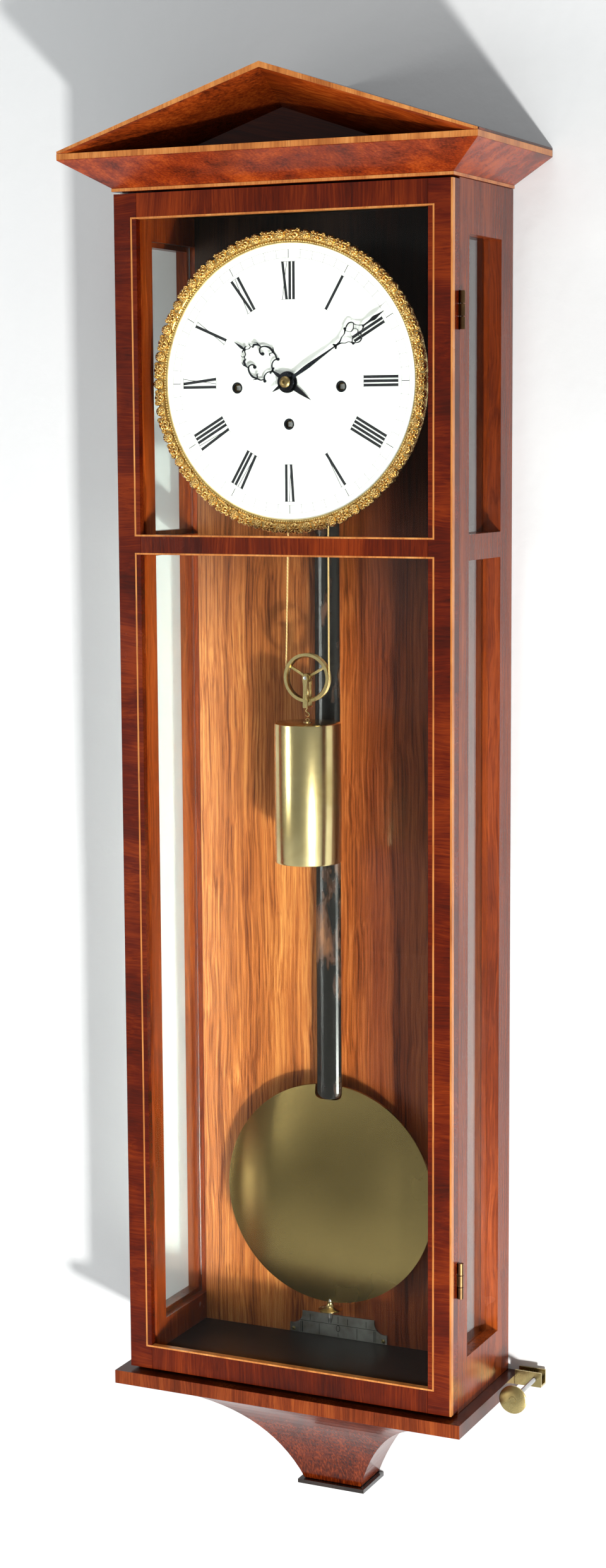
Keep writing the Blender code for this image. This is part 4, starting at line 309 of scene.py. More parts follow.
# ---------------------------------------------------------------- cornice and pediment
# A splayed cornice and a gable with a deep hollow tympanum stand on the case top.
# Their fronts are veneered with slanting figure; the gable's hollow is painted darker the deeper it goes, painted
# shade that is nearly black in the tympanum.
cornice_veneer = veneer("mahogany_cornice", (0.050, 0.005, 0.001), (0.200, 0.021, 0.002), (0.400, 0.066, 0.006),
                        "Z", lean=38.0, figure=0.7, seed=6.0, shares=(0.34, 0.30, 0.36), cells=(6, 22))
gable_veneer = veneer("mahogany_gable", (0.060, 0.008, 0.002), (0.240, 0.034, 0.004), (0.460, 0.098, 0.012), "X",
                      lean=-12.0, figure=0.6, seed=9.0, shares=(0.30, 0.34, 0.36), cells=(6, 24))
# Painted shade in the gable's hollow: darker the further back from its front face.
tint_along(gable_veneer, "Y", [(-0.1442, (1, 1, 1)), (-0.1300, (0.34, 0.30, 0.28)), (-0.1085, (0.16, 0.14, 0.13))])
finish_nodes(cornice_veneer, "cornice")
finish_nodes(gable_veneer, "pediment")

# ---------------------------------------------------------------- pendant below the case
# A hollow-sided block tapers from the plinth to a small ebonised cap.
# It is veneered with upright mahogany and polished to a high gloss.
pendant_veneer = veneer("mahogany_pendant", (0.025, 0.003, 0.001), (0.080, 0.009, 0.001), (0.200, 0.030, 0.004),
                        "Z", figure=0.4, gloss=0.18, coat=0.12, seed=13.0, shares=(0.34, 0.56, 0.10), cells=(3, 8))
finish_nodes(pendant_veneer, "pendant")
ebony, spot = new_material("ebonised")
stain = noise_of(ebony, spot, 60.0, 5.0, (1, 1, 0.2))
dress(ebony, Base_Color=ramp_of(ebony, stain, [(0.35, (0.006, 0.005, 0.005)), (0.75, (0.030, 0.018, 0.013))]),
      Roughness=range_of(ebony, stain, 0.14, 0.34), Coat_Weight=0.4)
bump_of(ebony, stain, 0.0004, 0.2)
finish_nodes(ebony, "pendant_cap")

# ---------------------------------------------------------------- light stringing
# Narrow strips of pale fruitwood line the reveals of the door openings, the door's outer edge,
# the cornice and the rakes of the gable. They are let in almost flush.
fruitwood = veneer("fruitwood_stringing", (0.30, 0.085, 0.018), (0.50, 0.175, 0.040), (0.64, 0.28, 0.080), "Z",
                   figure=0.3, gloss=0.28, coat=0.2, seed=4.0)


def add_bar(shape, low, high):
    """Adds a closed box between two corners to a bmesh."""
    made = bmesh.ops.create_cube(shape, size=1.0)
    low, high = Vector(low), Vector(high)
    bmesh.ops.scale(shape, vec=high - low, verts=made["verts"])
    bmesh.ops.translate(shape, vec=(low + high) / 2, verts=made["verts"])


def box_of(name):
    low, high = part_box(name)
    return Vector(low), Vector(high)


def core_of(name):
    """The middle and the half size of a CAD node's box."""
    low, high = box_of(name)
    return (low + high) / 2, (high - low) / 2


def add_prism(shape, outline, near, far):
    """Adds a closed solid between two depths from an outline of (x, z) corners."""
    front, back = ([shape.verts.new((x, y, z)) for x, z in outline] for y in (near, far))
    shape.faces.new(front)
    shape.faces.new(back)
    for i in range(len(outline)):
        shape.faces.new((front[i - 1], front[i], back[i], back[i - 1]))


PROUD = 0.0001                        # how far the strips stand out of the polish
STRIP, EDGE_STRIP = 0.0011, 0.0012
REVEAL = 0.0050                       # depth of the opening in front of the glass
EDGE_DEPTH = 0.0040
LIP = 0.0035                          # how far the opening's edge stands in from the stile's box
stile_low, stile_high = box_of("door_stile_left")
right_low, right_high = box_of("door_stile_right")
top_low, top_high = box_of("door_rail_top")
middle_low, middle_high = box_of("door_rail_middle")
bottom_low, bottom_high = box_of("door_rail_bottom")
front = stile_low.y - PROUD
left, right = stile_high.x - LIP, right_low.x + LIP
strips = bmesh.new()
for foot, head in ((middle_high.z, top_low.z), (bottom_high.z, middle_low.z)):
    for x in (left - STRIP, right - PROUD):
        add_bar(strips, (x, front, foot - STRIP), (x + STRIP + PROUD, front + PROUD + REVEAL, head + STRIP))
    for z in (foot - STRIP, head - PROUD):
        add_bar(strips, (left, front, z), (right, front + PROUD + REVEAL, z + STRIP + PROUD))
add_bar(strips, (right_high.x - EDGE_STRIP, front, bottom_low.z),
        (right_high.x + PROUD, front + PROUD + EDGE_DEPTH, top_high.z))
piece_from("door_stringing", strips, fruitwood, "door")

BAND_HEIGHT, FOOT_BAND_HEIGHT, BAND_BACK = 0.0040, 0.0022, -0.0005
FOOT_PROUD = 0.0010 + PROUD           # past the door below it
cornice_low, cornice_high = box_of("cornice")
crown = bmesh.new()
add_bar(crown, (cornice_low.x - PROUD, cornice_low.y - PROUD, cornice_high.z - BAND_HEIGHT),
        (cornice_high.x + PROUD, BAND_BACK, cornice_high.z + PROUD))
foot_half = right_high.x + FOOT_PROUD
add_bar(crown, (-foot_half, stile_low.y - FOOT_PROUD, cornice_low.z + PROUD),
        (foot_half, BAND_BACK, cornice_low.z + FOOT_BAND_HEIGHT))
piece_from("cornice_stringing", crown, fruitwood, "case")

RAKE, EAVES_RISE, RAKE_DEPTH = 0.0038, 0.0015, 0.0020
gable_low, gable_high = box_of("pediment")
rakes = bmesh.new()
for side in (-1, 1):
    eaves, eaves_foot = side * gable_high.x, gable_low.z + 0.0002
    add_prism(rakes, [(eaves, gable_low.z + EAVES_RISE), (0, gable_high.z), (0, gable_high.z - RAKE * 1.05),
                      (eaves - side * RAKE * 0.6, eaves_foot), (eaves, eaves_foot)],
              gable_low.y - PROUD, gable_low.y + RAKE_DEPTH)
piece_from("gable_stringing", rakes, fruitwood, "case")

# ---------------------------------------------------------------- glass
# Two panes in the door and two in each side, thin old window glass held in rebates.
glass, spot = new_material("window_glass")
PALE_GREEN = (0.93, 0.96, 0.94, 1)
dress(glass, Base_Color=PALE_GREEN, Roughness=0.0, IOR=1.16, Transmission_Weight=1.0)
bump_of(glass, noise_of(glass, spot, 9.0, 1.0), 0.0006, 0.03)
see_through(glass, node_of(glass, "ShaderNodeLightPath").outputs["Is Shadow Ray"], PALE_GREEN)
finish_nodes(glass, "door_glass_upper", "door_glass_lower")
side_pane = glass.copy()
side_pane.name = "side_window_glass"
dress(side_pane, IOR=1.50)
finish_nodes(side_pane, *(f"side_glass_{side}_{level}" for side in ("left", "right") for level in ("upper", "lower")))

# ---------------------------------------------------------------- metals of the movement and fittings
# Brass plates and wheels, steel arbors, blued steel gongs and screws. They are handled and
# lightly tarnished, so the shine changes over each surface.


def metal(name, bright, dull, smooth, rough, scale=45.0, brushed=None):
    """Handled metal: bright and dull patches with a changing polish and fine scratches."""
    material, where = new_material(name)
    patches = noise_of(material, where, scale, 5.0, warp=0.6)
    fine = noise_of(material, where, 1.0, 3.0, brushed or (900, 900, 900))
    mixed = node_of(material, "ShaderNodeMath", {0: fine, 1: 0.35, 2: patches}, operation="MULTIPLY_ADD").outputs[0]
    dress(material, Base_Color=ramp_of(material, patches, [(0.32, dull), (0.68, bright)]), Metallic=1.0,
          Roughness=range_of(material, mixed, rough, smooth, 0.3, 0.95))
    bump_of(material, fine, 0.00006, 0.25)
    return material


brass = metal("brass", (0.82, 0.60, 0.27), (0.50, 0.34, 0.13), 0.16, 0.34)
old_brass = metal("old_brass", (0.56, 0.45, 0.20), (0.30, 0.22, 0.08), 0.20, 0.42, 30.0)
steel = metal("steel", (0.62, 0.62, 0.62), (0.34, 0.33, 0.32), 0.22, 0.42)
blued_steel = metal("blued_steel", (0.050, 0.055, 0.070), (0.022, 0.020, 0.022), 0.22, 0.40)
finish_nodes(brass, "front_plate", "back_plate", "minute_wheel", "hour_wheel", "great_wheel", "winding_drum",
             "third_wheel", "escape_wheel", "centre_wheel", "strike_barrel_left", "strike_barrel_right")
finish_nodes(steel, "cannon_pinion", "rating_rod", "suspension_spring", "movement_bracket", "wall_hanger")
finish_nodes(blued_steel, "anchor", "gongs", "hammer_quarter", "hammer_hour")
finish_nodes(old_brass, "levelling_bracket")
hinge_brown = metal("hinge_brown", (0.20, 0.11, 0.045), (0.05, 0.028, 0.014), 0.26, 0.46, 60.0)
finish_nodes(hinge_brown, *(f"hinge_{level}_{owner}_leaf" for level in ("upper", "lower")
                            for owner in ("case", "door")))

# ---------------------------------------------------------------- dial
# A white enamel plate with thin black Roman numerals, an open minute track and three
# winding holes, each with a dark bushing round its winding square.
enamel, spot = new_material("enamel")
clouds = noise_of(enamel, spot, 14.0, 4.0)
dress(enamel, Base_Color=ramp_of(enamel, clouds, [(0.3, (0.80, 0.80, 0.775)), (0.7, (0.87, 0.87, 0.85))]),
      Roughness=range_of(enamel, clouds, 0.10, 0.22), Coat_Weight=0.5, Coat_Roughness=0.04)
bump_of(enamel, noise_of(enamel, spot, 30.0, 2.0), 0.0004, 0.12)
finish_nodes(enamel, "dial")
numeral_black, spot = new_material("numeral_black")
dress(numeral_black, Base_Color=ramp_of(numeral_black, noise_of(numeral_black, spot, 400.0, 3.0),
                                        [(0.3, (0.004, 0.004, 0.006)), (0.8, (0.014, 0.014, 0.018))]),
      Roughness=0.50, Specular_IOR_Level=0.25)
bump_of(numeral_black, noise_of(numeral_black, spot, 600.0, 2.0), 0.0001, 0.2)

dial, half = core_of("dial")
centre_z = dial.z
face = half.y - dial.y                # distance of the enamel from the wall


def add_ribbon(shape, path, widths, back, front):
    """Adds a closed flat strip along a path in the dial plane, (across, up) from the dial's middle.

    widths are the full widths at the path's points, back and front the distances from the wall."""
    left, right = [], []
    for i, point in enumerate(path):
        before, after = path[max(i - 1, 0)], path[min(i + 1, len(path) - 1)]
        run = Vector((after[0] - before[0], after[1] - before[1]))
        run = run.normalized() if run.length > 1e-9 else Vector((1, 0))
        half = widths[i] / 2
        left.append((point[0] - run.y * half, point[1] + run.x * half))
        right.append((point[0] + run.y * half, point[1] - run.x * half))
    rings = []
    for (a, b), (c, d) in zip(left, right):
        rings.append([shape.verts.new((a, -front, centre_z + b)), shape.verts.new((c, -front, centre_z + d)),
                      shape.verts.new((c, -back, centre_z + d)), shape.verts.new((a, -back, centre_z + b))])
    for one, two in zip(rings, rings[1:]):
        for i in range(4):
            shape.faces.new((one[i], one[(i + 1) % 4], two[(i + 1) % 4], two[i]))
    shape.faces.new(rings[0])
    shape.faces.new(rings[-1])


def clock_point(radius, degrees, across=0.0):
    """A point on the dial at a radius and an angle clockwise from twelve, moved sideways to the right."""
    a = math.radians(degrees)
    return (radius * math.sin(a) + across * math.cos(a), radius * math.cos(a) - across * math.sin(a))


INK = 0.00006                         # thickness of the fired paint
INK_BACK = face - 0.00004
INK_LAYER = 0.00001                   # each layer of paint lies this much over the last
NUMERAL_FOOT, NUMERAL_HEAD = 0.0575, 0.0836
THICK, HAIR, THIN, SERIF = 0.00200, 0.00030, 0.00042, 0.00024
numerals = ["XII", "I", "II", "III", "IIII", "V", "VI", "VII", "VIII", "IX", "X", "XI"]
letter_width = {"I": 0.0029, "V": 0.0050, "X": 0.0052}
ink = bmesh.new()
for hour, word in enumerate(numerals):
    degrees = 30 * hour
    wide = sum(letter_width[letter] for letter in word)
    across = -wide / 2
    for letter in word:
        step = letter_width[letter]
        middle = across + step / 2
        # each stroke is (sideways place at the foot, at the head, width)
        strokes = {"I": [(0, 0, THICK)],
                   "V": [(0.0002, -step * 0.30, THICK), (0.0004, step * 0.34, THIN)],
                   "X": [(step * 0.30, -step * 0.30, THICK), (-step * 0.34, step * 0.34, THIN)]}[letter]
        for layer, (foot, head, width) in enumerate(strokes):
            add_ribbon(ink, [clock_point(NUMERAL_FOOT, degrees, middle + foot),
                             clock_point(NUMERAL_HEAD, degrees, middle + head)],
                       [width, width], INK_BACK, face + INK + layer * INK_LAYER)
        across += step
    for radius in (NUMERAL_FOOT, NUMERAL_HEAD):
        ends = [clock_point(radius, degrees, side * (wide / 2 + HAIR)) for side in (-1, 1)]
        add_ribbon(ink, ends, [SERIF, SERIF], INK_BACK, face + INK + 2 * INK_LAYER)
piece_from("dial_numerals", ink, numeral_black, "case")

# ---------------------------------------------------------------- minute track
# Two hairline circles joined by sixty strokes, the fifth ones heavier, fired on the enamel.


def new_tree(name, inputs):
    """An empty Geometry Nodes tree with named inputs. Returns it, its group input and its group output."""
    tree = bpy.data.node_groups.new(name, "GeometryNodeTree")
    for label, kind in [("Geometry", "NodeSocketGeometry"), *inputs]:
        tree.interface.new_socket(label, in_out="INPUT", socket_type=kind)
    tree.interface.new_socket("Geometry", in_out="OUTPUT", socket_type="NodeSocketGeometry")
    return tree, tree.nodes.new("NodeGroupInput"), tree.nodes.new("NodeGroupOutput")


def now_of(thing):
    """The mesh of an object as its modifiers leave it."""
    bpy.context.view_layer.update()
    return bpy.data.meshes.new_from_object(thing.evaluated_get(bpy.context.evaluated_depsgraph_get()))


def grown(name, tree, values, body, start=None):
    """Runs a tree on an object, keeps the result as a plain mesh and lets it ride on a body."""
    made = show(name, start or bpy.data.meshes.new(name))
    modifier = made.modifiers.new("grow", "NODES")
    modifier.node_group = tree
    for item in tree.interface.items_tree:
        if item.item_type == "SOCKET" and item.in_out == "INPUT" and item.name in values:
            modifier[item.identifier] = values[item.name]
    mesh = now_of(made)
    made.modifiers.clear()
    made.data = mesh
    mesh.name = name
    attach(made, body)


def spread_of(tree, seed, low, high):
    """A random number for each copy, between two outputs or values."""
    return node_in(tree, "FunctionNodeRandomValue", {"Seed": seed, 2: low, 3: high}, data_type="FLOAT").outputs[1]


def math_of(tree, operation, one, two):
    return node_in(tree, "ShaderNodeMath", {0: one, 1: two}, operation=operation).outputs[0]


def copy_to(tree, given, result, points, angles, twist, material, size=None, moves=()):
    """Puts the tree's Piece on points, twists each copy about its own Z, then moves all of them."""
    spin = node_in(tree, "FunctionNodeRotateEuler", {0: angles, "Axis": (0, 0, 1), "Angle": twist},
                   rotation_type="AXIS_ANGLE", space="LOCAL")
    copied = node_in(tree, "GeometryNodeObjectInfo", {0: given.outputs["Piece"]})
    flow = node_in(tree, "GeometryNodeInstanceOnPoints", {
        "Points": points, "Instance": copied.outputs["Geometry"], "Rotation": spin.outputs[0],
        **({"Scale": size} if size else {})})
    for move in moves:
        flow = node_in(tree, "GeometryNodeTransform", {0: flow.outputs[0], **move})
    real = node_in(tree, "GeometryNodeRealizeInstances", {0: flow.outputs[0]})
    dressed = node_in(tree, "GeometryNodeSetMaterial", {0: real.outputs[0], "Material": material})
    tree.links.new(dressed.outputs[0], result.inputs[0])
    return tree


def ring_tree(name, material):
    """Copies of a small piece round a circle that faces the room. Each copy's X runs round the circle, its Y
    points away from the middle and its Z towards the room."""
    numbers = ["Radius", "Start", "Depth", "Height", "Turn Spread", "Size Spread"]
    tree, given, result = new_tree(name, [("Piece", "NodeSocketObject"), ("Count", "NodeSocketInt"),
                                          ("Seed", "NodeSocketInt"), *((word, "NodeSocketFloat") for word in numbers)])
    count, seed, radius, start, depth, height, turn, change = (
        given.outputs[word] for word in ["Count", "Seed", *numbers])
    ring = node_in(tree, "GeometryNodeMeshCircle", {"Vertices": count, "Radius": radius})
    place = node_in(tree, "GeometryNodeInputPosition")
    outward = node_in(tree, "FunctionNodeAlignEulerToVector", {"Vector": place.outputs[0]}, axis="Y", pivot_axis="Z")
    twist = spread_of(tree, seed, math_of(tree, "MULTIPLY", turn, -1.0), turn)
    size = spread_of(tree, seed, math_of(tree, "SUBTRACT", 1.0, change), math_of(tree, "ADD", 1.0, change))
    started = node_in(tree, "ShaderNodeCombineXYZ", {"Z": start})
    put = node_in(tree, "ShaderNodeCombineXYZ", {"Y": math_of(tree, "MULTIPLY", depth, -1.0), "Z": height})
    return copy_to(tree, given, result, ring.outputs[0], outward.outputs[0], twist, material, size, [
        {"Rotation": started.outputs[0]}, {"Translation": put.outputs[0], "Rotation": (math.pi / 2, 0, 0)}])


def pattern_piece(name, shape):
    """A small piece that a tree copies; it is removed once the copies are made."""
    bmesh.ops.recalc_face_normals(shape, faces=shape.faces)
    return show(name, mesh_from(name, shape))


def drop(*things):
    for thing in things:
        bpy.data.objects.remove(thing)


def turns(steps):
    """The angles of equal steps round a circle."""
    return [math.tau * k / steps for k in range(steps)]


def add_lathe(shape, middle, section, steps=96, axis="Z"):
    """Adds a turned solid. section is (radius, distance along the axis); it ends on the axis or closes on
    itself. The axis is Z, or Y towards the room."""
    hoops = []
    for radius, along in section:
        hoop = []
        for k in range(steps if radius > 0 else 1):
            a = math.tau * k / steps
            u, v = radius * math.cos(a), radius * math.sin(a)
            offset = (u, v, along) if axis == "Z" else (u, -along, v)
            hoop.append(shape.verts.new(Vector(middle) + Vector(offset)))
        hoops.append(hoop * (steps if radius == 0 else 1))
    pairs = list(zip(hoops, hoops[1:]))
    if section[0][0] > 0:
        pairs.append((hoops[-1], hoops[0]))
    for one, two in pairs:
        for k in range(steps):
            j = (k + 1) % steps
            corners = list(dict.fromkeys((one[k], one[j], two[j], two[k])))
            if len(corners) > 2:
                shape.faces.new(corners).smooth = True


TRACK_INNER, TRACK_OUTER, TRACK_HAIR = 0.0862, 0.0919, 0.00008
FINE, BOLD, SUNK = 0.00010, 0.00024, -0.00005
track_half = (TRACK_OUTER - TRACK_INNER) / 2
track_tree = ring_tree("minute_strokes", numeral_black)
common = {"Radius": TRACK_INNER + track_half, "Start": math.pi / 2, "Depth": face, "Height": centre_z,
          "Turn Spread": 0.0, "Size Spread": 0.0, "Seed": 1}
for name, count, half, top in (("minute_strokes", 60, FINE, INK), ("hour_strokes", 12, BOLD, INK + INK_LAYER)):
    shape = bmesh.new()
    add_bar(shape, (-half, -track_half, SUNK), (half, track_half, top))
    stroke = pattern_piece("stroke", shape)
    grown(name, track_tree, {**common, "Piece": stroke, "Count": count}, "case")
    drop(stroke)
circles = bmesh.new()
for radius in (TRACK_INNER, TRACK_OUTER):
    inner, outer = radius - TRACK_HAIR, radius + TRACK_HAIR
    add_lathe(circles, (0, 0, centre_z), [(inner, face + INK), (outer, face + INK), (outer, INK_BACK),
                                          (inner, INK_BACK)], 180, "Y")
piece_from("track_circles", circles, numeral_black, "case")

# ---------------------------------------------------------------- gilt bezel
# A cast and fire-gilt ring holds the enamel: a plain flange, a row of fine beads and a
# wreath of open blossoms between round studs.
gilt, spot = new_material("fire_gilding")
# Painted shade and painted highlight: the gilt is darker in the hollows and paler on the ridges of the relief.
edge = node_of(gilt, "ShaderNodeNewGeometry").outputs["Pointiness"]
relief = ramp_of(gilt, edge, [(0.40, (0.30, 0.13, 0.025)), (0.50, (0.72, 0.40, 0.10)), (0.60, (1.0, 0.80, 0.38))])
tarnish = noise_of(gilt, spot, 160.0, 4.0)
shade = ramp_of(gilt, tarnish, [(0.30, (0.62, 0.52, 0.40)), (0.60, (1, 1, 1))])
dress(gilt, Base_Color=blend_of(gilt, 0.7, relief, shade, "MULTIPLY"), Metallic=1.0,
      Roughness=range_of(gilt, tarnish, 0.30, 0.14))
bump_of(gilt, noise_of(gilt, spot, 900.0, 3.0), 0.0002, 0.35)

bezel_outer = core_of("dial_bezel")[1].x
BEZEL_INNER = 0.0962
flange = bmesh.new()
inside = [(0, 0.0003), (0.0004, 0.0012), (0.0026, 0.0013), (0.0034, 0.0020), (0.0052, 0.0025)]
outside = [(0.0032, 0.0020), (0.0026, -0.0010), (0.0026, -0.0042), (0.0045, -0.0042), (0.0045, 0.0003)]
add_lathe(flange, (0, 0, centre_z), [(BEZEL_INNER + out, face + rise) for out, rise in inside]
          + [(bezel_outer - back, face + rise) for back, rise in outside], 180, "Y")
bezel = piece_from("bezel_flange", flange, gilt, "case")


def add_dome(shape, middle, radius, height, lobes=0, depth=0.0, hollow=0.0, steps=24, rows=6):
    """Adds a closed low dome with its flat side down. Lobes notch its rim and hollow sinks its crown."""
    crown = shape.verts.new((middle[0], middle[1], middle[2] + height * (1 - hollow)))
    last = None
    for row in range(1, rows + 1):
        t = row / rows
        now = []
        for k in range(steps):
            a = math.tau * k / steps
            notch = 1 - depth * t * (0.5 + 0.5 * math.cos(lobes * a)) if lobes else 1.0
            rise = math.sqrt(max(0.0, 1 - t ** 2.2)) * (1 - hollow * math.exp(-(t / 0.42) ** 2))
            ridge = 1 + (0.22 * math.sin(lobes * a + math.pi / 2) * math.sin(math.pi * t) if lobes else 0)
            now.append(shape.verts.new((middle[0] + radius * t * notch * math.cos(a),
                                        middle[1] + radius * t * notch * math.sin(a),
                                        middle[2] + height * rise * ridge)))
        for k in range(steps):
            j = (k + 1) % steps
            made = (crown, now[k], now[j]) if last is None else (last[k], now[k], now[j], last[j])
            shape.faces.new(made).smooth = True
        last = now
    shape.faces.new(list(reversed(last)))


gilt_tree = ring_tree("gilt_ornament", gilt)


def wreath_of(name, domes, radius, count, depth, squeeze=1.0, **values):
    """A ring of copies of one ornament, which is made of domes, each (middle, radius, height, settings)."""
    shape = bmesh.new()
    for middle, wide, tall, settings in domes:
        add_dome(shape, middle, wide, tall, **settings)
    bmesh.ops.scale(shape, vec=(1, squeeze, 1), verts=shape.verts)
    ornament = pattern_piece("ornament", shape)
    grown(name, gilt_tree, {"Piece": ornament, "Radius": radius, "Count": count, "Depth": face + depth,
                            "Height": centre_z, **values}, "case")
    drop(ornament)


wreath_of("bezel_beads", [((0, 0, 0), 0.00085, 0.00085, dict(steps=8, rows=3))], BEZEL_INNER + 0.0017, 336, 0.0012,
          **{"Start": 0.0, "Turn Spread": 0.0, "Size Spread": 0.0, "Seed": 2})
BLOSSOMS = 33
WREATH_RADIUS, WREATH_DEPTH = bezel_outer - 0.0043, 0.0011
petals = [((0, 0, 0), 0.0054, 0.0046, dict(lobes=6, depth=0.12, hollow=0.42, steps=36, rows=9)),
          ((0, 0, 0.0010), 0.0020, 0.0034, dict(lobes=5, depth=0.10, hollow=0.15, steps=20, rows=5))]
for side in (-1, 1):
    petals += [((side * 0.0040, 0.0028, 0.0002), 0.0023, 0.0030,
                dict(lobes=4, depth=0.14, hollow=0.30, steps=20, rows=5)),
               ((side * 0.0042, -0.0030, 0.0), 0.0020, 0.0022, dict(lobes=3, depth=0.15, steps=15, rows=4))]
wreath_of("bezel_blossoms", petals, WREATH_RADIUS - 0.0002, BLOSSOMS, WREATH_DEPTH, 0.78,
          **{"Start": 0.0, "Turn Spread": 0.14, "Size Spread": 0.05, "Seed": 2})
wreath_of("bezel_studs", [((0, 0, 0), 0.0042, 0.0044, dict(lobes=9, depth=0.07, hollow=0.22, steps=36, rows=7)),
                          ((0, 0, 0.0016), 0.0018, 0.0030, dict(lobes=5, depth=0.12, steps=20, rows=4))],
          WREATH_RADIUS, BLOSSOMS, WREATH_DEPTH,
          **{"Start": math.pi / BLOSSOMS, "Turn Spread": 3.0, "Size Spread": 0.05, "Seed": 5})
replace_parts(bezel, "dial_bezel")

# ---------------------------------------------------------------- winding holes
# Each hole in the enamel has a thin dark bushing round a steel winding square, which turns
# with its drum or barrel.
SQUARE_HALF, SQUARE_PROUD, SQUARE_LENGTH = 0.00186, 0.00006, 0.0060
bushing = [(0.0029, -0.0017), (0.0036, -0.0017), (0.0036, 0.0001), (0.0040, 0.00012), (0.0040, 0.0003),
           (0.0029, 0.0003)]
bushings = bmesh.new()
for name in ("strike_barrel_left", "strike_barrel_right", "winding_drum"):
    (x, y, z), half = core_of(name)
    tip = y - half.y
    add_lathe(bushings, (x, 0, z), [(radius, face + rise) for radius, rise in bushing], 32, "Y")
    square = bmesh.new()
    add_bar(square, (x - SQUARE_HALF, tip - SQUARE_PROUD, z - SQUARE_HALF),
            (x + SQUARE_HALF, tip + SQUARE_LENGTH, z + SQUARE_HALF))
    bmesh.ops.bevel(square, geom=square.edges, offset=0.00025, segments=2, affect="EDGES")
    piece_from("square_of_" + name, square, steel, name)
piece_from("winding_bushings", bushings, blued_steel, "case")

# ---------------------------------------------------------------- hands
# Both hands are sawn and filed from thin steel and blued almost black. The hour hand is
# openwork scrolls with a lance tip, the minute hand a blade with a pierced shield.
HOUR_ANGLE, MINUTE_ANGLE = 304.8, 57.6
ONE, PAIR = (1,), (1, -1)
LEAST_WIDTH = 0.12


def smooth_path(points, steps=7):
    """A curve through the points, which may carry a third number for the width."""
    result = []
    ends = [points[0], *points, points[-1]]
    for i in range(1, len(ends) - 2):
        p0, p1, p2, p3 = ends[i - 1:i + 3]
        for k in range(steps):
            t = k / steps
            result.append(tuple(0.5 * (2 * b + (c - a) * t + (2 * a - 5 * b + 4 * c - d) * t ** 2
                                       + (3 * b - a - 3 * c + d) * t ** 3) for a, b, c, d in zip(p0, p1, p2, p3)))
    result.append(tuple(points[-1]))
    return result


def filed_hand(node, body, angle, work):
    """Makes a hand of scrolls and bosses in a CAD hand's place.

    A row of work is (sides, steps, shape) in millimetres. A scroll is a list of (along the hand, to its right,
    width), a boss one (along, to the right, radius). PAIR makes it on both sides of the hand."""
    low, high = box_of(node)
    shape = bmesh.new()
    for sides, steps, points in work:
        for side in sides:
            if isinstance(points, list):
                path = smooth_path(points, steps)
                places = [clock_point(along / 1000, angle, side * across / 1000) for along, across, _ in path]
                add_ribbon(shape, places, [max(width, LEAST_WIDTH) / 1000 for _, _, width in path], -high.y, -low.y)
                continue
            x, z = clock_point(points[0] / 1000, angle, side * points[1] / 1000)
            r = points[2] / 1000
            add_prism(shape, [(x + r * math.cos(a), centre_z + z + r * math.sin(a)) for a in turns(steps)],
                      low.y, high.y)
    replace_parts(piece_from(node + "_filed", shape, blued_steel, body), node)


filed_hand("minute_hand", "minute", MINUTE_ANGLE, [
    (ONE, 7, [(4.0, 0, 2.6), (9.0, 0, 2.2), (19.5, 0, 3.1), (32.0, 0, 1.9), (43.5, 0, 0.9), (45.0, 0, 1.1)]),
    (ONE, 7, [(-4.0, 0, 2.6), (-8.5, 0, 1.8), (-12.5, 0, 0.2)]),
    (ONE, 7, [(44.2, 2.0, 0.7), (45.4, 0, 1.9), (44.2, -2.0, 0.7)]),
    (PAIR, 7, [(45.0, 0, 1.2), (49.5, 0.6, 0.9), (52.5, 2.4, 0.55), (55.2, 3.2, 0.5), (57.4, 5.4, 0.9)]),
    (PAIR, 20, (57.6, 6.0, 0.95)),
    (PAIR, 7, [(57.0, 4.2, 0.4), (59.0, 6.4, 0.6), (62.0, 7.6, 0.8), (64.6, 6.6, 0.7), (65.4, 4.4, 0.5),
               (67.4, 2.4, 0.45), (70.5, 0.5, 0.7)]),
    (PAIR, 7, [(64.8, 5.2, 0.35), (63.0, 2.6, 0.45), (60.6, 1.7, 0.4), (58.8, 2.8, 0.35), (57.6, 4.6, 0.3)]),
    (PAIR, 7, [(63.2, 2.6, 0.3), (64.8, 1.2, 0.4), (65.4, 0.0, 0.3)]),
    (ONE, 7, [(69.5, 0, 1.0), (73.0, 0, 1.1), (76.5, 0, 1.6), (80.0, 0, 2.9), (84.0, 0, 1.5), (89.0, 0, 0.1)]),
    (ONE, 40, (0, 0, 6.3)),
])
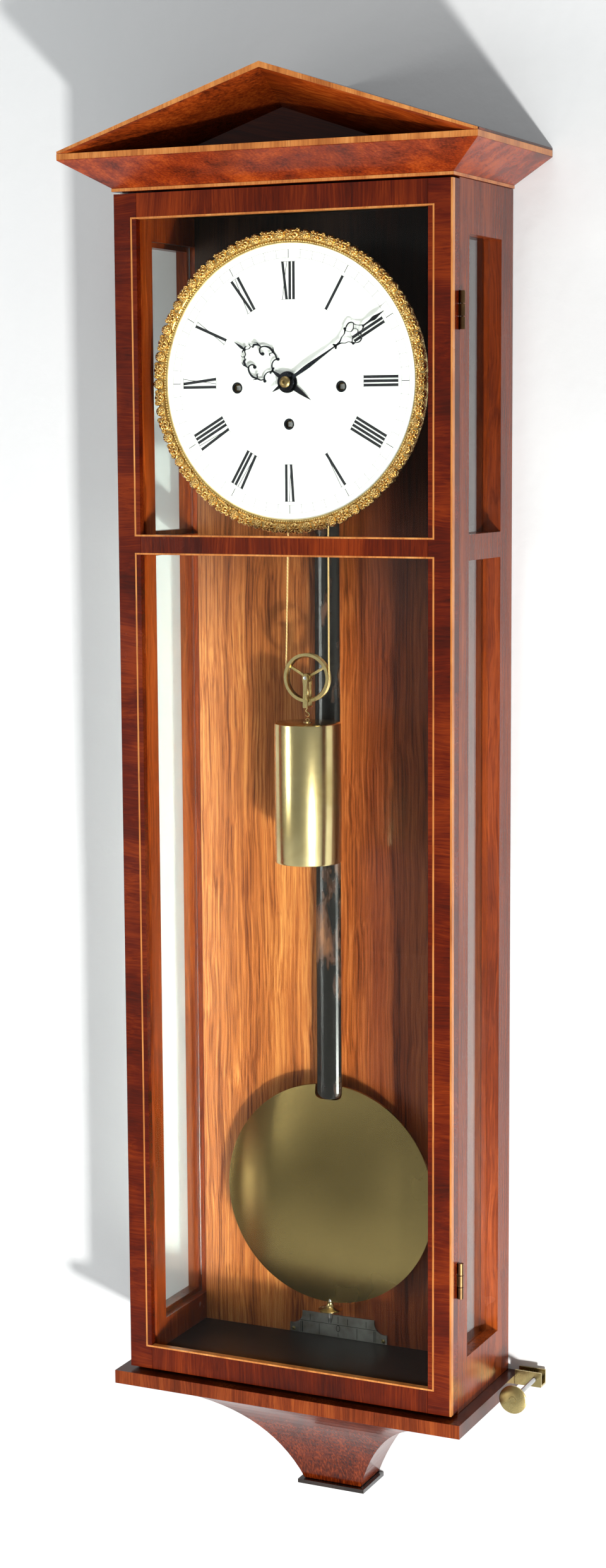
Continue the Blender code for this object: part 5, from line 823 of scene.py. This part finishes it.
filed_hand("hour_hand", "hour", HOUR_ANGLE, [
    (ONE, 7, [(4.5, 0, 2.2), (9.0, 0, 2.5), (13.0, 0, 1.2), (14.4, 0, 1.6)]),
    (ONE, 7, [(-4.5, 0, 5.0), (-8.0, 0, 3.9), (-14.0, 0, 2.8), (-22.0, 0, 0.2)]),
    (PAIR, 7, [(14.0, 0, 1.4), (14.5, 1.4, 1.2), (14.2, 2.6, 0.9)]),
    (PAIR, 7, [(14.2, 0.6, 0.9), (16.6, 3.0, 0.7), (17.2, 5.6, 0.7), (16.6, 7.6, 0.9), (15.2, 8.8, 1.2)]),
    (PAIR, 20, (14.9, 9.2, 1.1)),
    (PAIR, 7, [(15.6, 8.2, 0.8), (18.0, 10.4, 1.0), (20.6, 11.2, 1.1), (23.0, 13.8, 0.3)]),
    (PAIR, 9, [(20.6, 10.8, 1.0), (24.4, 12.0, 1.4), (28.6, 10.8, 1.1), (31.0, 8.0, 0.9), (29.8, 5.4, 1.0),
               (27.4, 4.8, 1.2)]),
    (PAIR, 20, (27.0, 5.5, 1.25)),
    (PAIR, 7, [(21.0, 10.6, 0.6), (22.6, 8.6, 0.6), (21.4, 7.4, 0.3)]),
    (PAIR, 7, [(30.6, 8.6, 0.5), (33.4, 8.8, 1.2), (36.2, 7.0, 1.5), (36.0, 4.6, 0.6)]),
    (PAIR, 7, [(33.4, 8.9, 0.9), (35.2, 9.4, 0.6), (37.4, 8.4, 0.25)]),
    (PAIR, 7, [(35.6, 6.0, 0.6), (37.6, 4.4, 0.5), (38.2, 2.2, 0.5), (40.6, 0.4, 0.6)]),
    (PAIR, 7, [(38.2, 4.4, 0.5), (39.4, 5.2, 0.3), (40.6, 4.8, 0.2)]),
    (PAIR, 7, [(40.4, 0, 0.9), (41.2, 1.4, 0.8), (40.8, 2.8, 0.3)]),
    (ONE, 7, [(39.6, 0, 0.8), (42.0, 0, 1.3), (44.6, 0, 1.7), (50.3, 0, 0.1)]),
    (ONE, 40, (0, 0, 7.6)),
])

# ---------------------------------------------------------------- weight and its line
# The brass weight hangs by an S-hook from a pulley on a gut line. One end is wound on the
# drum behind the dial, the other is made fast to the movement.
weight_brass = metal("weight_brass", (0.80, 0.64, 0.33), (0.56, 0.42, 0.18), 0.14, 0.30, 24.0,
                     brushed=(60, 60, 2600))
pulley_brass = metal("pulley_brass", (0.84, 0.66, 0.32), (0.50, 0.36, 0.14), 0.16, 0.34, 60.0)


def add_tube(shape, points, radius, sides=12, closed=False):
    """Adds a round wire through points in space."""
    points = [Vector(point) for point in points]
    count = len(points)
    hoops = []
    for i, point in enumerate(points):
        if closed:
            run = points[(i + 1) % count] - points[i - 1]
        else:
            run = points[min(i + 1, count - 1)] - points[max(i - 1, 0)]
        across = run.cross(Vector((0, 1, 0))).normalized()
        up = run.cross(across).normalized()
        hoops.append([shape.verts.new(point + radius * (math.cos(a) * across + math.sin(a) * up))
                      for a in turns(sides)])
    for one, two in zip(hoops, hoops[1:] + (hoops[:1] if closed else [])):
        for k in range(sides):
            j = (k + 1) % sides
            shape.faces.new((one[k], one[j], two[j], two[k])).smooth = True
    if not closed:
        shape.faces.new(hoops[0])
        shape.faces.new(hoops[-1])


weight_low, weight_high = box_of("weight")
weight_y, weight_radius = core_of("weight")[0].y, core_of("weight")[1].x
EYE, EYE_RADII, EYE_WIRE = 0.0032, (0.0013, 0.0010), 0.0003
lid = weight_high.z - EYE
turned_weight = bmesh.new()
add_lathe(turned_weight, (0, weight_y, 0), [
    (0, weight_low.z), (weight_radius - 0.0012, weight_low.z), (weight_radius - 0.0004, weight_low.z + 0.0003),
    (weight_radius, weight_low.z + 0.0011), (weight_radius, lid - 0.0014), (weight_radius - 0.0002, lid - 0.0004),
    (weight_radius - 0.0010, lid), (0.0034, lid), (0.0030, lid + 0.0007), (0, lid + 0.0008)])
add_tube(turned_weight, [(EYE_RADII[0] * math.cos(a), weight_y, lid + 0.0019 + EYE_RADII[1] * math.sin(a))
                         for a in turns(20)], EYE_WIRE, closed=True)
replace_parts(piece_from("weight_turned", turned_weight, weight_brass, "weight"), "weight")

hub, half = core_of("pulley")
hub_z, rim_radius, half_rim = hub.z, half.x, half.y
SPOKES, SPOKE_HALF = 3, (0.0010, 0.0009)
pulley = bmesh.new()
rim = [(-0.0030, -0.0012), (-0.0022, -half_rim), (0, -half_rim), (0, -half_rim + 0.0005), (-0.0016, -0.0006)]
rim += [(inward, -away) for inward, away in reversed(rim)]
add_lathe(pulley, hub, [(rim_radius + inward, away) for inward, away in rim], axis="Y")
boss = [(0, -half_rim), (0.0030, -half_rim), (0.0034, -half_rim + 0.0006)]
add_lathe(pulley, hub, boss + [(radius, -away) for radius, away in reversed(boss)], 40, "Y")
for k in range(SPOKES):
    spoke = bmesh.new()
    add_bar(spoke, (-SPOKE_HALF[0], -SPOKE_HALF[1], 0.0020), (*SPOKE_HALF, rim_radius - 0.0026))
    bmesh.ops.bevel(spoke, geom=spoke.edges, offset=0.0003, segments=1, affect="EDGES")
    bmesh.ops.rotate(spoke, cent=(0, 0, 0), verts=spoke.verts,
                     matrix=Matrix.Rotation(math.radians(180 + 360 * k / SPOKES), 3, "Y"))
    bmesh.ops.translate(spoke, vec=hub, verts=spoke.verts)
    pulley.from_mesh(mesh_from("spoke", spoke))
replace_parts(piece_from("pulley_turned", pulley, pulley_brass, "pulley"), "pulley")

stirrup_low = box_of("pulley_stirrup")[0]
STRAP, STRAP_SPACE = 0.0009, 0.0030
strap_foot = hub_z - rim_radius - STRAP_SPACE
half_stirrup = core_of("pulley_stirrup")[1].y
strap = [(0.0014, hub_z + 0.0022), (0.0021, hub_z - 0.001), (0.0015, hub_z - 0.006), (0.0019, strap_foot)]
strap += [(-x, z) for x, z in reversed(strap)]
hook = bmesh.new()
for side in (-1, 1):
    add_prism(hook, strap, weight_y + side * (half_stirrup - STRAP), weight_y + side * half_stirrup)
reach = half_stirrup - 0.00005
add_bar(hook, (-0.0018, weight_y - reach, strap_foot - STRAP), (0.0018, weight_y + reach, strap_foot + 0.0002))
HOOK_WIRE = 0.00045
hook_low = stirrup_low.z + 0.0004
drop_height = strap_foot - 0.0004 - hook_low
bends = [(0.0, 1.0), (0.0, 0.84), (-0.0010, 0.74), (-0.0014, 0.60), (-0.0006, 0.48), (0.0006, 0.40),
         (0.0015, 0.28), (0.0012, 0.12), (0.0, 0.05), (-0.0011, 0.12), (-0.0014, 0.22)]
add_tube(hook, [(x, weight_y, hook_low + drop_height * share) for x, share in bends], HOOK_WIRE)
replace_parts(piece_from("pulley_stirrup_bent", hook, pulley_brass, "weight"), "pulley_stirrup")

pin_head = bmesh.new()
add_lathe(pin_head, (0, stirrup_low.y, hub_z), [(0, -0.0004), (0.0013, -0.0004), (0.0013, 0.0000), (0.0008, 0.00008),
                                                (0, 0.0001)], 24, "Y")
piece_from("pulley_pin_head", pin_head, steel, "weight")

gut, spot = new_material("gut_line")
lay = node_of(gut, "ShaderNodeTexWave", {"Vector": spot, "Scale": 260.0, "Distortion": 0.6}, wave_type="BANDS",
              bands_direction="DIAGONAL").outputs["Fac"]
dress(gut, Base_Color=ramp_of(gut, lay, [(0.2, (0.44, 0.27, 0.09)), (0.8, (0.60, 0.39, 0.15))]),
      Roughness=range_of(gut, lay, 0.5, 0.35))
bump_of(gut, lay, 0.0001, 0.25)

GUT_RADIUS, STEPS = 0.0006, 48
line_high = box_of("weight_line")[1]
drum_z = core_of("great_wheel")[0].z
pulley_run, drum_run = line_high.x - GUT_RADIUS, line_high.z - GUT_RADIUS - drum_z
post_foot = max(v.co.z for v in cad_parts["weight_line"].data.vertices if v.co.x > 0.9 * pulley_run)
over = [math.pi * k / 20 for k in range(2, 20)]
under = [math.pi * k / 24 for k in range(1, 24)]
shares = [k / STEPS for k in range(STEPS + 1)]
route = [(drum_run * math.cos(a), drum_z + drum_run * math.sin(a)) for a in over]
route += [(-drum_run + (drum_run - pulley_run) * t, drum_z + (hub_z - drum_z) * t) for t in shares]
route += [(-pulley_run * math.cos(a), hub_z - pulley_run * math.sin(a)) for a in under]
route += [(pulley_run, hub_z + (post_foot - hub_z) * t) for t in shares]
taut = bmesh.new()
add_tube(taut, [(x, weight_y, z) for x, z in route], GUT_RADIUS, 10)
taut_line = piece_from("weight_line_taut", taut, gut, None)
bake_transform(taut_line)
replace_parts(taut_line, "weight_line")

# ---------------------------------------------------------------- pendulum
# A black polished wooden rod, rubbed through to brown in places, carries a dull brass bob
# the shape of a lens. The rating nut below sets the rate.
rod_black, spot = new_material("pendulum_black")
rubbed = noise_of(rod_black, spot, 1.0, 4.0, (60, 60, 22), 0.55)
dress(rod_black, Base_Color=ramp_of(rod_black, rubbed, [(0.54, (0.008, 0.007, 0.006)), (0.62, (0.055, 0.022, 0.010)),
                                                        (0.74, (0.20, 0.085, 0.035))]),
      Roughness=range_of(rod_black, rubbed, 0.20, 0.42, 0.5, 0.75), Specular_IOR_Level=0.35)
bump_of(rod_black, rubbed, 0.0001, 0.1)
finish_nodes(rod_black, "pendulum_rod")

bob_brass, spot = new_material("bob_brass")
clouded = noise_of(bob_brass, spot, 7.0, 3.0)
base = ramp_of(bob_brass, clouded, [(0.30, (0.30, 0.21, 0.075)), (0.70, (0.42, 0.30, 0.115))])
pitted = ramp_of(bob_brass, noise_of(bob_brass, spot, 520.0, 2.0), [(0.26, (0.40, 0.32, 0.20)), (0.33, (1, 1, 1))])
dress(bob_brass, Base_Color=blend_of(bob_brass, 0.7, base, pitted, "MULTIPLY"), Metallic=1.0,
      Roughness=range_of(bob_brass, clouded, 0.20, 0.30, 0.3, 0.7))
bump_of(bob_brass, clouded, 0.0010, 0.25)
(_, bob_y, bob_z), (bob_radius, bob_half, _) = core_of("pendulum_bob")
EDGE_HALF, DOME_STEPS = 0.0012, 30
NOTCH_HALF, NOTCH_DEEP, NOTCH_REACH = 0.0110, 0.0112, 0.02
dome = [(bob_radius * math.sin(a), EDGE_HALF + (bob_half - EDGE_HALF) * (1 - math.sin(a) ** 2))
        for a in (math.pi / 2 * k / DOME_STEPS for k in range(DOME_STEPS + 1))]
lens, notch = bmesh.new(), bmesh.new()
add_lathe(lens, (0, bob_y, bob_z), dome + [(radius, -away) for radius, away in reversed(dome)], 160, "Y")
sides = [(NOTCH_HALF, 0.03), (NOTCH_HALF, 0.0040), (NOTCH_HALF * 0.93, 0.0020), (NOTCH_HALF * 0.78, 0.0008),
         (NOTCH_HALF * 0.55, 0.0)]
notch_foot = bob_z + bob_radius - NOTCH_DEEP
add_prism(notch, [(x, notch_foot + z) for x, z in sides + [(-x, z) for x, z in reversed(sides)]],
          bob_y - NOTCH_REACH, bob_y + NOTCH_REACH)
whole, cutter = pattern_piece("whole_lens", lens), pattern_piece("notch", notch)
cut = whole.modifiers.new("cut", "BOOLEAN")
cut.operation, cut.solver, cut.object = "DIFFERENCE", "EXACT", cutter
notched = bmesh.new()
notched.from_mesh(now_of(whole))
drop(whole, cutter)
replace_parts(piece_from("pendulum_bob_lens", notched, bob_brass, "pendulum"), "pendulum_bob")

nut, half = core_of("rating_nut")
disc, nut_rise = half.x, 2 * half.z
rating_nut = bmesh.new()
add_lathe(rating_nut, (0, bob_y, nut.z - half.z), [
    (0.0017, 0), (0.0030, 0.0002), (0.0034, 0.0012), (disc - 0.0006, 0.0020), (disc, 0.0024), (disc, 0.0030),
    (disc - 0.0006, 0.0034), (0.0044, 0.0042), (0.0029, 0.0058), (0.0024, 0.0076), (0.0026, nut_rise),
    (0.0017, nut_rise)], 80)
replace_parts(piece_from("rating_nut_turned", rating_nut, pulley_brass, "rating_nut"), "rating_nut")

# ---------------------------------------------------------------- hand nut and levelling screw
# The hands are held by a dull brass collet with the arbor's end showing in it. The levelling
# screw is a thin steel rod with a flat brass knob that the fingers turn.
middle, half = core_of("hand_nut")
collet_radius, collet_back, collet_rise = half.x, -middle.y - half.y, 2 * half.y
profile = [(0, 0), (1, 0), (1, 0.35), (0.84, 0.75), (0.50, 1), (0.30, 1), (0.28, 0.45), (0, 0.45)]
collet = bmesh.new()
add_lathe(collet, (0, 0, centre_z), [(collet_radius * out, collet_back + collet_rise * up) for out, up in profile],
          64, "Y")
collet_brass = metal("collet_brass", (0.42, 0.30, 0.13), (0.20, 0.13, 0.05), 0.28, 0.44, 90.0)
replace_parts(piece_from("hand_nut_turned", collet, collet_brass, "minute"), "hand_nut")

middle, half = core_of("levelling_screw")
axis = (middle.x, 0, middle.z)
knob, knob_face, screw_back = half.x, half.y - middle.y, -half.y - middle.y
knob_shape = bmesh.new()
add_lathe(knob_shape, axis, [(radius, knob_face - back) for radius, back in (
    (0, 0.0036), (0.0042, 0.0034), (0.0044, 0.0022), (knob - 0.0004, 0.0022), (knob, 0.0018), (knob, 0.0007),
    (knob - 0.0007, 0.0003), (0.0026, 0.0003), (0.0024, 0), (0, 0))], 72, "Y")
knob_piece = piece_from("levelling_knob_turned", knob_shape, old_brass, "levelling_screw")
TURNS, ROOT, CREST, UNTHREADED = 64, 0.0015, 0.0017, 0.0034
thread = [(0, screw_back), (0.0010, screw_back)]
for k in range(TURNS):
    start = screw_back + 0.0012 + (knob_face - 0.0052) * k / TURNS
    thread += [(ROOT, start), (CREST, start + 0.0004)]
threaded = bmesh.new()
add_lathe(threaded, axis, thread + [(0.0016, knob_face - UNTHREADED), (0, knob_face - UNTHREADED)], 24, "Y")
piece_from("levelling_screw_thread", threaded, steel, "levelling_screw")
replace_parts(knob_piece, "levelling_screw")

# ---------------------------------------------------------------- beat scale
# A thin silvered plate on the back board behind the rating nut, engraved with plain strokes
# and a nought. Two small slotted screws fix it.
silver, spot = new_material("silvered_brass")
age = noise_of(silver, spot, 70.0, 5.0)
dress(silver, Base_Color=ramp_of(silver, age, [(0.32, (0.20, 0.18, 0.15)), (0.66, (0.44, 0.43, 0.40))]),
      Metallic=0.85, Roughness=range_of(silver, age, 0.45, 0.28))
bump_of(silver, age, 0.0001, 0.2)
finish_nodes(silver, "beat_scale")
scale_low, scale_high = box_of("beat_scale")
scale_front, scale_middle = scale_low.y, (scale_low.x + scale_high.x) / 2
foot = scale_low.z + 0.0006
STROKE, HEAVY = 0.00018, 0.000288     # half the width of an engraved line
engraving = bmesh.new()


def engrave(left, right, low, high):
    add_bar(engraving, (scale_middle + left, scale_front - 0.00006, foot + low),
            (scale_middle + right, scale_front + 0.0002, foot + high))


for across, low, high, half in ((0, 0.0105, 0.0160, STROKE), (0.0158, 0, 0.0085, STROKE), (0.0300, 0, 0.0085, HEAVY),
                                (0.0313, 0, 0.0085, STROKE), (0.0080, 0.0100, 0.0150, STROKE),
                                (0.0235, 0.0100, 0.0150, STROKE), (0, 0, 0.0030, STROKE)):
    for x in sorted({across, -across}):
        engrave(x - half, x + half, low, high)
engrave(-0.0325, 0.0325, 0.0092, 0.0095)
add_tube(engraving, [(scale_middle + 0.0014 * math.cos(a), scale_front - 0.00002, foot + 0.0065 + 0.0025 * math.sin(a))
                     for a in turns(24)], 0.0002, 6, closed=True)
piece_from("beat_scale_engraving", engraving, numeral_black, "case")

screw_shape, slot_shape = bmesh.new(), bmesh.new()
add_dome(screw_shape, (0, 0, 0), 0.0017, 0.0006, steps=20, rows=4)
add_bar(slot_shape, (-0.0016, -0.00022, 0.0002), (0.0016, 0.00022, 0.00064))
SCREW_INSET, SCREW_RISE = 0.0030, 0.0022
ear_x = scale_high.x - scale_middle - SCREW_INSET
places = [(scale_middle + side * ear_x, scale_front, scale_low.z + SCREW_RISE) for side in (-1, 1)]
for suffix, shape, material in (("heads", screw_shape, old_brass), ("slots", slot_shape, numeral_black)):
    tree, given, result = new_tree("screw_" + suffix, [("Piece", "NodeSocketObject"), ("Seed", "NodeSocketInt")])
    copy_to(tree, given, result, given.outputs["Geometry"], (math.pi / 2, 0, 0),
            spread_of(tree, given.outputs["Seed"], 0.0, math.pi), material)
    piece = pattern_piece("screw_" + suffix, shape)
    start = bpy.data.meshes.new("places")
    start.from_pydata(places, [], [])
    grown("beat_scale_screws_" + suffix, tree, {"Piece": piece, "Seed": 3}, "case", start)
    drop(piece)
